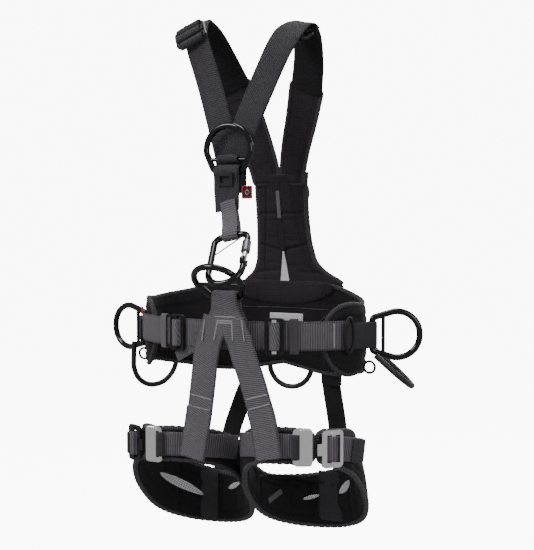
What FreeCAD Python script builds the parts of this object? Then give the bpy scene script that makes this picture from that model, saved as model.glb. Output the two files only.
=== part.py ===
import FreeCAD, Part
import Sketcher
import math
import os

from FreeCAD import Placement, Rotation, Vector

# Full-body work-positioning harness, shown as it is worn by a standing person.
# Frame: origin at the centre of the waist opening, +Z up, the wearer faces -Y, wearer's left is +X.
# Angles round the waist and the thighs are counted from the front (-Y) towards the wearer's left.

# ---------------------------------------------------------------- driving dimensions (mm, degrees)
DIMENSIONS = {
    # waist belt
    "waist_half_width": 193.0,
    "waist_half_depth": 121.0,
    "pad_thick": 13.0,
    "pad_end_left": 56.0,
    "pad_end_right": 47.0,
    "belt_rise": 8.0,
    "webbing_width": 45.0,
    "webbing_thick": 3.0,
    "layer_gap": 1.0,
    # forged D-rings
    "ring_width": 88.0,
    "ring_height": 80.0,
    "ring_wire": 10.0,
    "ring_foot": 52.0,
    "ring_slot": 17.0,
    "ventral_slot": 28.0,
    "ring_slot_bar": 6.0,
    "side_ring_width": 82.0,
    "side_ring_height": 84.0,
    "wrap_gap": 0.6,
    "ventral_lean": 48.0,
    # screw-gate connector
    "connector_height": 105.9,
    "connector_width": 65.5,
    "connector_wire": 10.0,
    "connector_top_bend": 12.0,
    "connector_foot_bend": 26.0,
    "gate_length": 42.0,
    "gate_wire": 8.0,
    "gate_pin": 3.0,
    "sleeve_length": 20.0,
    "sleeve_diameter": 14.0,
    "captive_wire": 2.4,
    # adjusters
    "adjuster_height": 56.0,
    "adjuster_width": 30.0,
    "adjuster_thick": 4.0,
    "adjuster_rail": 4.5,
    "slide_bar_width": 7.0,
    "slide_bar_thick": 2.6,
    "slide_gap": 0.4,
    # leg buckles
    "buckle_height": 58.0,
    "hook_width": 30.0,
    "tongue_width": 36.0,
    "buckle_thick": 4.0,
    "neck_height": 18.0,
    # leg loops
    "leg_half_width": 101.0,
    "leg_half_depth": 114.0,
    "leg_centre_left": 96.0,
    "leg_centre_right": -112.0,
    "leg_drop_right": 14.0,
    "leg_turn": 12.0,
    "leg_flare": 25.0,
    "leg_pad_thick": 11.0,
    # shoulders and back
    "shoulder_pad_width": 66.0,
    "shoulder_pad_thick": 9.0,
    "cover_thick": 12.0,
    "back_thick": 10.0,
    # small pieces
    "gear_tube": 9.0,
    "side_gear_span": 90.0,
    "rear_gear_span": 80.0,
    "accessory_ring": 18.0,
    "accessory_wire": 4.0,
    "riser_width": 34.0,
}

doc = FreeCAD.newDocument("safety_harness")
sheet = doc.addObject("Spreadsheet::Sheet", "sizes")
for row, (alias, value) in enumerate(DIMENSIONS.items(), start=1):
    sheet.set(f"A{row}", alias)
    sheet.set(f"B{row}", str(value))
    sheet.setAlias(f"B{row}", alias)
doc.recompute()
size = {alias: float(sheet.get(alias)) for alias in DIMENSIONS}

nodes = []
UP = Vector(0, 0, 1)
LEFT = Vector(1, 0, 0)
REAR = Vector(0, 1, 0)
FRONT = Vector(0, -1, 0)


# ---------------------------------------------------------------- helpers
def keep(item, label):
    """Give a finished sub-part its name and put it on the list of nodes."""
    item.Label = label
    nodes.append(item)
    return item


def place(origin, across, upward):
    """Placement whose local X runs along across and whose local Z leans as near to upward as it can."""
    across = Vector(across).normalize()
    depth = Vector(upward).cross(across).normalize()
    return Placement(origin, Rotation(across, depth, across.cross(depth), "XYZ"))


def lerp(start, end, share):
    """Value or vector the given share of the way from start to end."""
    return start + (end - start) * share


def profile_at(stations, at):
    """Straight-line interpolation in a list of (position, value) pairs sorted by position."""
    for (low, first), (high, second) in zip(stations, stations[1:]):
        if at <= high:
            return lerp(first, second, (at - low) / (high - low))
    return stations[-1][1]


def loft(name, sections):
    """Closed solid through a row of polygons, with straight sides between them."""
    wires = [Part.makePolygon(points + [points[0]]) for points in sections]
    item = doc.addObject("Part::Feature", name)
    item.Shape = Part.makeLoft(wires, True, True)
    return item


def strap(name, stations):
    """Flat strap through stations of (centre, width direction, width, thickness)."""
    sections = []
    last = len(stations) - 1
    for index, (centre, across, width, thick) in enumerate(stations):
        before = stations[max(index - 1, 0)][0]
        after = stations[min(index + 1, last)][0]
        along = (after - before).normalize()
        side = Vector(across) - along * along.dot(across)
        side = side.normalize() * (width / 2)
        face = along.cross(side).normalize() * (thick / 2)
        sections.append([centre - side - face, centre + side - face, centre + side + face, centre - side + face])
    return loft(name, sections)


def smooth(points, steps):
    """Catmull-Rom points through hand-chosen ones, the same number of steps in every span."""
    padded = [points[0] * 2 - points[1]] + points + [points[-1] * 2 - points[-2]]
    result = []
    for a, b, c, d in zip(padded, padded[1:], padded[2:], padded[3:]):
        for step in range(steps):
            u = step / steps
            blend = b * 2 + (c - a) * u + (a * 2 - b * 5 + c * 4 - d) * (u * u)
            result.append((blend + (b * 3 - a - c * 3 + d) * (u ** 3)) * 0.5)
    result.append(points[-1])
    return result


def ellipse_point(centre_x, half_width, half_depth, degrees, offset, height):
    """Point at an offset outside an upright ellipse, the angle counted from the front."""
    turn = math.radians(degrees)
    outward = Vector(math.sin(turn) / half_width, -math.cos(turn) / half_depth, 0).normalize()
    base = Vector(centre_x + half_width * math.sin(turn), -half_depth * math.cos(turn), height)
    return base + outward * offset


def waist(degrees, offset, height):
    """Point round the waist, offset outwards from the outer face of the waist pad."""
    return ellipse_point(0, size["waist_half_width"], size["waist_half_depth"], degrees, offset, height)


def thigh(side, degrees, offset, height):
    """Point round a thigh, offset outwards from the leg pad's outer face; angles grow outwards."""
    centre = size["leg_centre_left"] if side > 0 else size["leg_centre_right"]
    drop = 0 if side > 0 else size["leg_drop_right"]
    turn = side * degrees + size["leg_turn"]
    return ellipse_point(centre, size["leg_half_width"], size["leg_half_depth"], turn, offset, height - drop)


def stations_between(start, end, step):
    """Start, the multiples of step strictly between, and end."""
    inner = [k * step for k in range(math.ceil(start / step), math.floor(end / step) + 1)]
    return [start] + [a for a in inner if start + 1 < a < end - 1] + [end]


def ring_band(name, around, angles, low_offset, high_offset, low_edge, high_edge):
    """Band round the waist or a thigh between two offsets, its edges at heights given per angle."""
    sections = []
    for a in angles:
        bottom, top = low_edge(a), high_edge(a)
        section = [around(a, low_offset, bottom), around(a, high_offset, bottom)]
        section += [around(a, high_offset, top), around(a, low_offset, top)]
        sections.append(section)
    return loft(name, sections)


def plane_of(body, role):
    """Origin plane of a body."""
    return [item for item in body.Origin.OriginFeatures if item.Role == role][0]


def sketch_on(body, name, role):
    """Empty sketch lying on one of the body's origin planes."""
    sketch = body.newObject("Sketcher::SketchObject", name)
    sketch.AttachmentSupport = [(plane_of(body, role), "")]
    sketch.MapMode = "FlatFace"
    return sketch


def centred_rectangle(sketch, width, height, middle_x=0.0):
    """Rectangle centred on the sketch's X axis, its sizes bound to expressions in the sheet."""
    half_w, half_h = evaluate(width) / 2, evaluate(height) / 2
    corners = [Vector(middle_x + sx * half_w, sy * half_h, 0) for sx, sy in ((-1, -1), (1, -1), (1, 1), (-1, 1))]
    first = sketch.GeometryCount
    for start, end in zip(corners, corners[1:] + corners[:1]):
        sketch.addGeometry(Part.LineSegment(start, end), False)
    for k in range(4):
        sketch.addConstraint(Sketcher.Constraint("Coincident", first + k, 2, first + (k + 1) % 4, 1))
    for k in (0, 2):
        sketch.addConstraint(Sketcher.Constraint("Horizontal", first + k))
        sketch.addConstraint(Sketcher.Constraint("Vertical", first + k + 1))
    wide = sketch.addConstraint(Sketcher.Constraint("DistanceX", first, 1, first, 2, 2 * half_w))
    tall = sketch.addConstraint(Sketcher.Constraint("DistanceY", first + 1, 1, first + 1, 2, 2 * half_h))
    sketch.addConstraint(Sketcher.Constraint("DistanceX", -1, 1, first, 1, middle_x - half_w))
    sketch.addConstraint(Sketcher.Constraint("DistanceY", first, 1, -1, 1, half_h))
    sketch.setExpression(f"Constraints[{wide}]", width)
    sketch.setExpression(f"Constraints[{tall}]", height)


def evaluate(expression):
    """Value of a formula in the sheet's names."""
    return float(sheet.evalExpression(expression.replace("sizes.", "")))


def pad(body, sketch, name, length):
    """Pad of a sketch to both sides of its plane."""
    feature = body.newObject("PartDesign::Pad", name)
    feature.Profile = sketch
    feature.setExpression("Length", length)
    feature.Midplane = True
    body.Tip = feature
    return feature


def pocket(body, sketch, name, length):
    """Pocket of a sketch to both sides of its plane."""
    feature = body.newObject("PartDesign::Pocket", name)
    feature.Profile = sketch
    feature.setExpression("Length", length)
    feature.Midplane = True
    body.Tip = feature
    return feature


def round_edges(body, base, name, edges, radius):
    """Fillet on the named edges of the last feature."""
    doc.recompute()
    feature = body.newObject("PartDesign::Fillet", name)
    feature.Base = (base, edges)
    feature.Radius = radius
    body.Tip = feature
    return feature


def edges_along(feature, direction):
    """Names of the straight edges of a feature that run along a direction."""
    found = []
    for number, edge in enumerate(feature.Shape.Edges, start=1):
        if not isinstance(edge.Curve, Part.Line):
            continue
        way = edge.Vertexes[1].Point - edge.Vertexes[0].Point
        if way.cross(direction).Length < 1e-6:
            found.append(f"Edge{number}")
    return found


def rounded_path(corners, closed):
    """Edges of a flat path of straight runs joined by tangent arcs; corners are (x, z, radius)."""
    count = len(corners)
    points = [Vector(x, z, 0) for x, z, radius in corners]
    marks = []
    for k in range(count):
        if corners[k][2] == 0:
            marks.append((points[k], points[k], None))
            continue
        back = (points[k - 1] - points[k]).normalize()
        ahead = (points[(k + 1) % count] - points[k]).normalize()
        half = back.getAngle(ahead) / 2
        reach = corners[k][2] / math.tan(half)
        middle = points[k] + (back + ahead).normalize() * (corners[k][2] / math.sin(half) - corners[k][2])
        marks.append((points[k] + back * reach, points[k] + ahead * reach, middle))
    edges = []
    for k in range(count if closed else count - 1):
        entry, leave, middle = marks[k]
        if middle is not None:
            edges.append(Part.Arc(entry, middle, leave))
        following = marks[(k + 1) % count][0]
        if (following - leave).Length > 1e-6:
            edges.append(Part.LineSegment(leave, following))
    return edges


def bent_rod(name, corners, closed, diameter):
    """Round rod along a flat path in the local XZ plane; the path starts on the Z axis, along X."""
    body = doc.addObject("PartDesign::Body", name)
    path = sketch_on(body, name + "_path", "XZ_Plane")
    for edge in rounded_path(corners, closed):
        path.addGeometry(edge, False)
    section = sketch_on(body, name + "_section", "YZ_Plane")
    centre = Vector(0, corners[0][1], 0)
    section.addGeometry(Part.Circle(centre, Vector(0, 0, 1), evaluate(diameter) / 2), False)
    wide = section.addConstraint(Sketcher.Constraint("Diameter", 0, evaluate(diameter)))
    section.setExpression(f"Constraints[{wide}]", diameter)
    pipe = body.newObject("PartDesign::AdditivePipe", name + "_rod")
    pipe.Profile = section
    pipe.Spine = path
    body.Tip = pipe
    return body


def rod(name, start, end, diameter):
    """Straight round rod between two points."""
    item = doc.addObject("Part::Cylinder", name)
    item.setExpression("Radius", f"({diameter}) / 2")
    item.Height = (end - start).Length
    item.Placement = Placement(start, Rotation(UP, end - start))
    return item


def fuse(name, pieces):
    """One solid of several pieces."""
    item = doc.addObject("Part::MultiFuse", name)
    item.Shapes = pieces
    return item


def webbing_wrap(name, bar, axis, tail_end, width, bar_diameter):
    """Webbing that wraps a bar and closes to a double ply at tail_end: a drop-shaped pad with a bore."""
    body = doc.addObject("PartDesign::Body", name)
    tail = (tail_end - bar).Length
    inner = evaluate(bar_diameter) / 2 + size["wrap_gap"]
    outer = inner + size["webbing_thick"] * 0.8
    half_ply = size["webbing_thick"]
    turn = math.atan2(half_ply, tail) + math.acos(outer / math.hypot(half_ply, tail))
    touch = Vector(outer * math.cos(turn), outer * math.sin(turn), 0)
    sketch = sketch_on(body, name + "_outline", "XY_Plane")
    mirror = Vector(touch.x, -touch.y, 0)
    sketch.addGeometry(Part.Arc(touch, Vector(-outer, 0, 0), mirror), False)
    sketch.addGeometry(Part.LineSegment(mirror, Vector(tail, -half_ply, 0)), False)
    sketch.addGeometry(Part.LineSegment(Vector(tail, -half_ply, 0), Vector(tail, half_ply, 0)), False)
    sketch.addGeometry(Part.LineSegment(Vector(tail, half_ply, 0), touch), False)
    sketch.addGeometry(Part.Circle(Vector(0, 0, 0), Vector(0, 0, 1), inner), False)
    pad(body, sketch, name + "_width", width)
    body.Placement = place_tail(bar, axis, tail_end - bar)
    return body


def place_tail(origin, axis, tail):
    """Placement whose local Z is the bar's axis and whose local X runs down the tail."""
    axis = Vector(axis).normalize()
    run = (tail - axis * tail.dot(axis)).normalize()
    return Placement(origin, Rotation(run, axis.cross(run), axis, "ZXY"))


# ---------------------------------------------------------------- waist belt
# The pad runs round the back from one front end to the other; its edges are heights at angles from
# the front, the same on both sides, with the ends rounded off over the last few degrees.
PAD_TOP = [(44, 36.0), (50, 46.0), (90, 55.0), (120, 63.0), (145, 75.0), (180, 76.5)]
PAD_BOTTOM = [(44, -28.0), (50, -42.0), (90, -55.0), (120, -66.0), (150, -76.0), (170, -68.0), (180, -62.0)]
ANGLE_STEP = 7.5


def fold_angle(angle):
    """Angle from the front on either side, 0 to 180."""
    return min(angle % 360, 360 - angle % 360)


def pad_edge(stations, angle):
    """Edge height of the waist pad, stretched so that each end keeps its rounded corner."""
    around = fold_angle(angle)
    end = size["pad_end_left"] if angle < 180 else size["pad_end_right"]
    first = stations[0][0]
    shifted = first + (around - end) * (180 - first) / (180 - end)
    return profile_at(stations, shifted)


PAD_CORNER_STEP = 3.0
pad_angles = stations_between(size["pad_end_left"], 360 - size["pad_end_right"], ANGLE_STEP)
pad_angles += [size["pad_end_left"] + PAD_CORNER_STEP, 360 - size["pad_end_right"] - PAD_CORNER_STEP]
pad_angles = sorted(set(pad_angles))
keep(ring_band("pad_solid", waist, pad_angles, -size["pad_thick"], 0.0,
               lambda a: pad_edge(PAD_BOTTOM, a), lambda a: pad_edge(PAD_TOP, a)), "waist_pad")

BELT_LOW = size["belt_rise"] - size["webbing_width"] / 2
BELT_HIGH = size["belt_rise"] + size["webbing_width"] / 2
WEB_INNER = size["layer_gap"]
WEB_OUTER = WEB_INNER + size["webbing_thick"]
OVER_INNER = WEB_OUTER + size["layer_gap"]
OVER_OUTER = OVER_INNER + size["webbing_thick"]
ADJUSTER_RIGHT = -20.0
ADJUSTER_LEFT = 28.0
SIDE_ANGLE = 93.0
SIDE_WEB_END = 74.0
BELT_JOINT = 2.0


def belt_web(label, start, end):
    """Stretch of belt webbing lying on the pad."""
    angles = stations_between(start, end, ANGLE_STEP)
    item = ring_band(label + "_web", waist, angles, WEB_INNER, WEB_OUTER, lambda a: BELT_LOW, lambda a: BELT_HIGH)
    return keep(item, label)


belt_web("belt_webbing_right", -SIDE_WEB_END, ADJUSTER_RIGHT - BELT_JOINT)
belt_web("belt_webbing_front", ADJUSTER_RIGHT, ADJUSTER_LEFT)
belt_web("belt_webbing_left", ADJUSTER_LEFT + BELT_JOINT, SIDE_WEB_END)


ADJUSTER_CORNER = 5.0


def outer_corners(feature, wide, high):
    """Names of the corner edges on the outline of a plate, leaving out those of its window."""
    found = []
    for name in edges_along(feature, REAR):
        middle = feature.Shape.getElement(name).CenterOfMass
        if abs(middle.x) > wide / 2 - 0.1 and abs(middle.z) > high / 2 - 0.1:
            found.append(name)
    return found


def ladder_frame(label, origin, across, outward):
    """Stamped adjuster frame with one window; local Y is its thickness, facing outward."""
    body = doc.addObject("PartDesign::Body", label + "_frame")
    plate = sketch_on(body, label + "_plate", "XZ_Plane")
    centred_rectangle(plate, "sizes.adjuster_width", "sizes.adjuster_height")
    blank = pad(body, plate, label + "_blank", "sizes.adjuster_thick")
    window = sketch_on(body, label + "_window", "XZ_Plane")
    centred_rectangle(window, "sizes.adjuster_width - 2 * sizes.adjuster_rail",
                      "sizes.adjuster_height - 2 * sizes.adjuster_rail")
    pocket(body, window, label + "_opening", "2 * sizes.adjuster_thick")
    doc.recompute()
    corners = outer_corners(body.Tip, size["adjuster_width"], size["adjuster_height"])
    round_edges(body, body.Tip, label + "_corners", corners, ADJUSTER_CORNER)
    body.Placement = place(origin, across, Vector(outward).cross(across))
    return keep(body, label)


def slide_bar(label, origin, across, outward, height, stand):
    """Flat slide bar that lies across an adjuster's window, in front of the rails."""
    item = doc.addObject("Part::Box", label + "_box")
    item.setExpression("Length", "sizes.slide_bar_width")
    item.setExpression("Width", "sizes.slide_bar_thick")
    item.setExpression("Height", height)
    upward = Vector(outward).cross(across).normalize()
    corner = origin - Vector(across).normalize() * (size["slide_bar_width"] / 2) - upward * (evaluate(height) / 2)
    item.Placement = place(corner + Vector(outward).normalize() * (stand + size["slide_bar_thick"]),
                           across, upward)
    return keep(item, label)


BAR_HEIGHT = "sizes.adjuster_height - 4"
FRAME_STAND = OVER_OUTER + 0.5
BAR_STAND = size["adjuster_thick"] / 2 + size["slide_gap"]


def waist_run(angle):
    """Level direction along the waist belt at an angle, growing with it, by a small step each way."""
    return (waist(angle + 0.5, 0, 0) - waist(angle - 0.5, 0, 0)).normalize()


for name, angle in (("right", ADJUSTER_RIGHT - BELT_JOINT / 2), ("left", ADJUSTER_LEFT + BELT_JOINT / 2)):
    along = waist_run(angle)
    outward = along.cross(UP)
    centre = waist(angle, WEB_OUTER + 1.5 + size["adjuster_thick"] / 2, size["belt_rise"])
    ladder_frame(f"belt_adjuster_{name}", centre, along, outward)
    slide_bar(f"belt_slide_bar_{name}", centre, along, outward, BAR_HEIGHT, BAR_STAND)


def sleeve_band(label, origin, across, outward, wide, high, deep, wall):
    """Keeper: a short rectangular sleeve that the webbing runs through along its local X."""
    shell = doc.addObject("Part::Box", label + "_shell")
    bore = doc.addObject("Part::Box", label + "_bore")
    for item, trim in ((shell, 0.0), (bore, wall)):
        item.Length = wide + (4 * wall if item is bore else 0)
        item.Width = deep - 2 * trim
        item.Height = high - 2 * trim
        item.Placement = Placement(Vector(-item.Length.Value / 2, -item.Width.Value / 2, -item.Height.Value / 2),
                                   Rotation())
    cut = doc.addObject("Part::Cut", label + "_cut")
    cut.Base = shell
    cut.Tool = bore
    cut.Placement = place(origin, across, Vector(outward).cross(across))
    return keep(cut, label)


KEEPER_WALL = 1.6
KEEPER_WIDE = 14.0
for name, angle in (("right", -31.5), ("left", 38.5)):
    along = waist_run(angle)
    outward = along.cross(UP)
    middle = (WEB_INNER + WEB_OUTER) / 2
    high = size["webbing_width"] + 2 * (KEEPER_WALL + 1.2)
    deep = size["webbing_thick"] + 2 * (KEEPER_WALL + 0.7)
    sleeve_band(f"belt_keeper_{name}", waist(angle, middle + 0.2, size["belt_rise"]), along, outward,
                KEEPER_WIDE, high, deep, KEEPER_WALL)


# ---------------------------------------------------------------- D-rings and the webbing that holds them
FOOT_BEND = 7.0
SHOULDER_OF_RING = 0.9


def d_ring(label, origin, across, upward, width, height, slot=size["ring_slot"]):
    """Forged ring: round bow, sides that draw in to a straight foot bar, and a slot bar above it."""
    rim = evaluate(width) / 2 - size["ring_wire"] / 2
    bow_centre = evaluate(height) - size["ring_wire"] - rim
    foot = size["ring_foot"] / 2
    bow_corner = rim * 0.98
    corners = [(0, 0, 0), (foot, 0, FOOT_BEND), (rim, bow_centre * SHOULDER_OF_RING, rim * 0.35),
               (rim, bow_centre + rim, bow_corner), (-rim, bow_centre + rim, bow_corner),
               (-rim, bow_centre * SHOULDER_OF_RING, rim * 0.35), (-foot, 0, FOOT_BEND)]
    hoop = bent_rod(label + "_hoop", corners, True, "sizes.ring_wire")
    reach = lerp(foot, rim, slot / (bow_centre * SHOULDER_OF_RING))
    bar = rod(label + "_slot_bar", Vector(-reach, 0, slot), Vector(reach, 0, slot), "sizes.ring_slot_bar")
    ring = fuse(label + "_ring", [hoop, bar])
    ring.Placement = place(origin, across, upward)
    return keep(ring, label)


STERNAL_BAR = Vector(0, -82, 261)
VENTRAL_BAR = Vector(24.0, -134, 68.5)
DORSAL_BAR = Vector(-8, 117, 262)
DORSAL_LEAN = 38.0
RING_BACKSET = {"left": 27.0, "right": 14.0}
SIDE_BAR_OFFSET = {"left": 13.5, "right": 20.0}
SIDE_BAR_DROP = {"left": 2.0, "right": 9.0}
LAP_START = 66.0
LAP_END = 78.0
LAP_TRIM = 4

lean = math.radians(size["ventral_lean"])
ventral_up = Vector(0, -math.sin(lean), math.cos(lean))
d_ring("sternal_ring", STERNAL_BAR, LEFT, UP, "sizes.ring_width", "sizes.ring_height")
d_ring("ventral_ring", VENTRAL_BAR, LEFT, ventral_up, "sizes.ring_width", "sizes.ring_height", size["ventral_slot"])
dorsal_turn = math.radians(DORSAL_LEAN)
dorsal_up = Vector(0, math.sin(dorsal_turn), -math.cos(dorsal_turn))
d_ring("dorsal_ring", DORSAL_BAR, LEFT, dorsal_up, "sizes.ring_width", "sizes.ring_height")
for name, side in (("left", 1), ("right", -1)):
    back_turn = math.radians(RING_BACKSET[name])
    outward = Vector(side * math.cos(back_turn), math.sin(back_turn), 0)
    bar = waist(side * SIDE_ANGLE, SIDE_BAR_OFFSET[name], size["belt_rise"] - SIDE_BAR_DROP[name])
    d_ring(f"side_ring_{name}", bar, UP, outward, "sizes.side_ring_width", "sizes.side_ring_height")
    lap_angles = [side * a for a in (LAP_START, (LAP_START + LAP_END) / 2, LAP_END)]
    lap_half = (size["webbing_width"] - LAP_TRIM) / 2
    lap = ring_band(f"side_lap_{name}", waist, lap_angles, OVER_INNER, OVER_OUTER,
                    lambda a: bar.z - lap_half, lambda a: bar.z + lap_half)
    tail_end = waist(side * LAP_END, (OVER_INNER + OVER_OUTER) / 2 + 0.6, bar.z)
    wrap = webbing_wrap(f"side_wrap_{name}", bar, UP, tail_end, f"sizes.webbing_width - {LAP_TRIM}",
                        "sizes.ring_wire")
    keep(fuse(f"side_strap_{name}_joined", [lap, wrap]), f"side_ring_strap_{name}")


# ---------------------------------------------------------------- screw-gate connector
CONNECTOR_TOP = Vector(29.5, -124.7, 160.0)
CONNECTOR_TWIST = 3.3
CONNECTOR_LEAN = 42.8
CONNECTOR_ROLL = 14.2
GATE_FOOT = 36.0
connector_turn = (Rotation(UP, -CONNECTOR_TWIST) * Rotation(LEFT, -CONNECTOR_LEAN)
                  * Rotation(FRONT, CONNECTOR_ROLL))
connector_place = Placement(CONNECTOR_TOP, connector_turn)

half_span = (size["connector_width"] - size["connector_wire"]) / 2
drop = size["connector_height"] - size["connector_wire"]
gate_low = -drop + GATE_FOOT
gate_high = gate_low + size["gate_length"]
top_bend, foot_bend = size["connector_top_bend"], size["connector_foot_bend"]
corners = [(0, 0, 0), (-half_span, 0, top_bend), (-half_span, -drop, foot_bend), (half_span, -drop, foot_bend),
           (half_span, gate_low - 1.0, 0)]
frame_rod = bent_rod("connector_frame_rod", corners, False, "sizes.connector_wire")
nose = bent_rod("connector_nose_rod", [(0, 0, 0), (half_span, 0, top_bend), (half_span, gate_high + 1.0, 0)],
                False, "sizes.connector_wire")
LUG_THICK = 2.0
LUG_GAP = 0.4
LUG_WIDE = 8.0
LUG_HIGH = 12.0
PIN_RISE = 4.0
lugs = []
for side in (-1, 1):
    lug = doc.addObject("Part::Box", "connector_lug")
    lug.Length, lug.Width, lug.Height = LUG_WIDE, LUG_THICK, LUG_HIGH
    near = size["gate_wire"] / 2 + LUG_GAP
    lug.Placement = Placement(Vector(half_span - LUG_WIDE / 2, near if side > 0 else -near - LUG_THICK,
                                     gate_low - LUG_HIGH / 2 + 1), Rotation())
    lugs.append(lug)
pin_reach = size["gate_wire"] / 2 + LUG_GAP + LUG_THICK
pin_ends = [Vector(half_span, side * pin_reach, gate_low + PIN_RISE) for side in (-1, 1)]
connector = doc.addObject("Part::Cut", "connector_bored")
connector.Base = fuse("connector_joined", [frame_rod, nose] + lugs)
connector.Tool = rod("connector_pin_bore", pin_ends[0], pin_ends[1], "sizes.gate_pin")
connector.Placement = connector_place
keep(connector, "connector_body")
pin = rod("gate_pin_rod", pin_ends[0], pin_ends[1], "sizes.gate_pin")
pin.Placement = connector_place * pin.Placement
keep(pin, "gate_hinge_pin")

gate_bar = rod("gate_rod", Vector(half_span, 0, gate_low), Vector(half_span, 0, gate_high), "sizes.gate_wire")
gate = doc.addObject("Part::Cut", "gate_bored")
gate.Base = gate_bar
gate.Tool = rod("gate_bore", pin_ends[0], pin_ends[1], "sizes.gate_pin + 0.3")
gate.Placement = connector_place
keep(gate, "connector_gate")

SLEEVE_DROP = 1.0
sleeve_low = gate_high - SLEEVE_DROP - size["sleeve_length"]
sleeve_ends = [Vector(half_span, 0, sleeve_low), Vector(half_span, 0, sleeve_low + size["sleeve_length"])]
screw_sleeve = doc.addObject("Part::Cut", "sleeve_bored")
screw_sleeve.Base = rod("sleeve_outer", sleeve_ends[0], sleeve_ends[1], "sizes.sleeve_diameter")
screw_sleeve.Tool = rod("sleeve_bore", sleeve_ends[0], sleeve_ends[1], "sizes.gate_wire + 0.6")
screw_sleeve.Placement = connector_place
keep(screw_sleeve, "gate_screw_sleeve")

CAPTIVE_DROP = 34.0
CAPTIVE_END = 9.5
rim = size["connector_wire"] / 2 + 0.7
captive = rod("captive_rod", Vector(rim - half_span, 0, -CAPTIVE_DROP),
              Vector(half_span - CAPTIVE_END - rim * 0.3, 0, -rim - 0.8), "sizes.captive_wire")
captive.Placement = connector_place * captive.Placement
keep(captive, "captive_bar")


# ---------------------------------------------------------------- chest: straps between ring and connector
STRAP_NARROW = 25.0
STRAP_SHIFT = 3.0
STRAP_PLY = 6.0
connector_across = connector_turn.multVec(LEFT)
flap_low = Vector(7, -99, 198)
flap_high = Vector(0.5, -83.5, 240)
KEEPER_SIZE = Vector(26, 3.6, 20)
KEEPER_RIM = 4.5
KEEPER_MIDDLE = Vector(0.5, -93.2, 247)
KEEPER_UP = Vector(0, -0.12, 1)
upper_wrap = webbing_wrap("sternal_upper_wrap", STERNAL_BAR, LEFT, flap_high, "sizes.webbing_width", "sizes.ring_wire")
lower_bar = connector_place.multVec(LEFT * -STRAP_SHIFT)
lower_wrap = webbing_wrap("sternal_lower_wrap", lower_bar, connector_across, flap_low,
                          str(STRAP_NARROW), "sizes.connector_wire")
half_twist = (connector_across + LEFT).normalize()
webbing = size["webbing_width"]
flap = strap("sternal_flap", [(flap_high + Vector(0, 0, 3), LEFT, webbing, STRAP_PLY),
                              (lerp(flap_high, flap_low, 0.5), LEFT * 3 + half_twist, webbing, STRAP_PLY),
                              (flap_low - Vector(-0.5, 1, 6), half_twist, webbing * 0.9, STRAP_PLY)])
keep(fuse("sternal_strap_joined", [upper_wrap, lower_wrap, flap]), "sternal_strap")

keeper_place = place(KEEPER_MIDDLE, LEFT, KEEPER_UP)
keeper_boxes = []
for wide, deep, tall in ((KEEPER_SIZE.x, KEEPER_SIZE.y, KEEPER_SIZE.z),
                         (KEEPER_SIZE.x - 2 * KEEPER_RIM, 2 * KEEPER_SIZE.y, KEEPER_SIZE.z - 2 * KEEPER_RIM)):
    box = doc.addObject("Part::Box", "keeper_box")
    box.Length, box.Width, box.Height = wide, deep, tall
    box.Placement = Placement(Vector(-wide / 2, -deep / 2, -tall / 2), Rotation())
    keeper_boxes.append(box)
sternal_keeper = doc.addObject("Part::Cut", "keeper_cut")
sternal_keeper.Base, sternal_keeper.Tool = keeper_boxes
sternal_keeper.Placement = keeper_place
keep(sternal_keeper, "sternal_keeper")

TAB_SIZE = Vector(16.0, 1.6, 18.0)
TAB_CORNER = Vector(webbing / 2 + 4, -0.5, -22)
tab = doc.addObject("Part::Box", "tab_box")
tab.Length, tab.Width, tab.Height = TAB_SIZE
tab.Placement = Placement(flap_high + TAB_CORNER, Rotation())
keep(tab, "marker_tab")


# ---------------------------------------------------------------- ventral strap and front risers
HUB_LOW = 26.0
HUB_WIDE = 66.0
HUB_PLY = 5.0
hub_top = Vector(VENTRAL_BAR.x, -133.5, 54)
hub_end = Vector(VENTRAL_BAR.x, -132.5, HUB_LOW)
ventral_wrap = webbing_wrap("ventral_wrap", VENTRAL_BAR, LEFT, hub_top, "sizes.webbing_width", "sizes.ring_wire")
hub = strap("ventral_hub", [(hub_top + Vector(0, 0, 2), LEFT, webbing, HUB_PLY),
                            (lerp(hub_top, hub_end, 0.6), LEFT, HUB_WIDE, HUB_PLY), (hub_end, LEFT, HUB_WIDE, HUB_PLY)])
keep(fuse("ventral_strap_joined", [ventral_wrap, hub]), "ventral_strap")

RISER_LEFT = [Vector(37, -132, 17.5), Vector(46, -132, 0), Vector(53, -130, -25), Vector(64, -125, -60),
              Vector(74, -122.5, -95), Vector(83, -122.5, -125), Vector(92, -122.5, -178)]
RISER_RIGHT = [Vector(2, -132, 17.5), Vector(-7, -132, 0), Vector(-14, -130, -25), Vector(-20, -126, -60),
               Vector(-26, -123.5, -95), Vector(-32, -122.5, -130), Vector(-43, -122.5, -188)]
RISER_PLY = 3.6


def riser(label, points):
    """Front riser: webbing from the ventral strap to the leg loop, where its end is sewn down."""
    route = smooth(points, 3)
    stations = []
    for k, point in enumerate(route):
        run = route[min(k + 1, len(route) - 1)] - route[max(k - 1, 0)]
        across = run.cross(FRONT)
        full = min(1.0, 0.74 + 0.26 * k / 3)
        stations.append((point, across * (1 if across.x > 0 else -1), webbing * full, RISER_PLY))
    return keep(strap(label + "_web", stations), label)


riser("front_riser_left", RISER_LEFT)
riser("front_riser_right", RISER_RIGHT)


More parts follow.
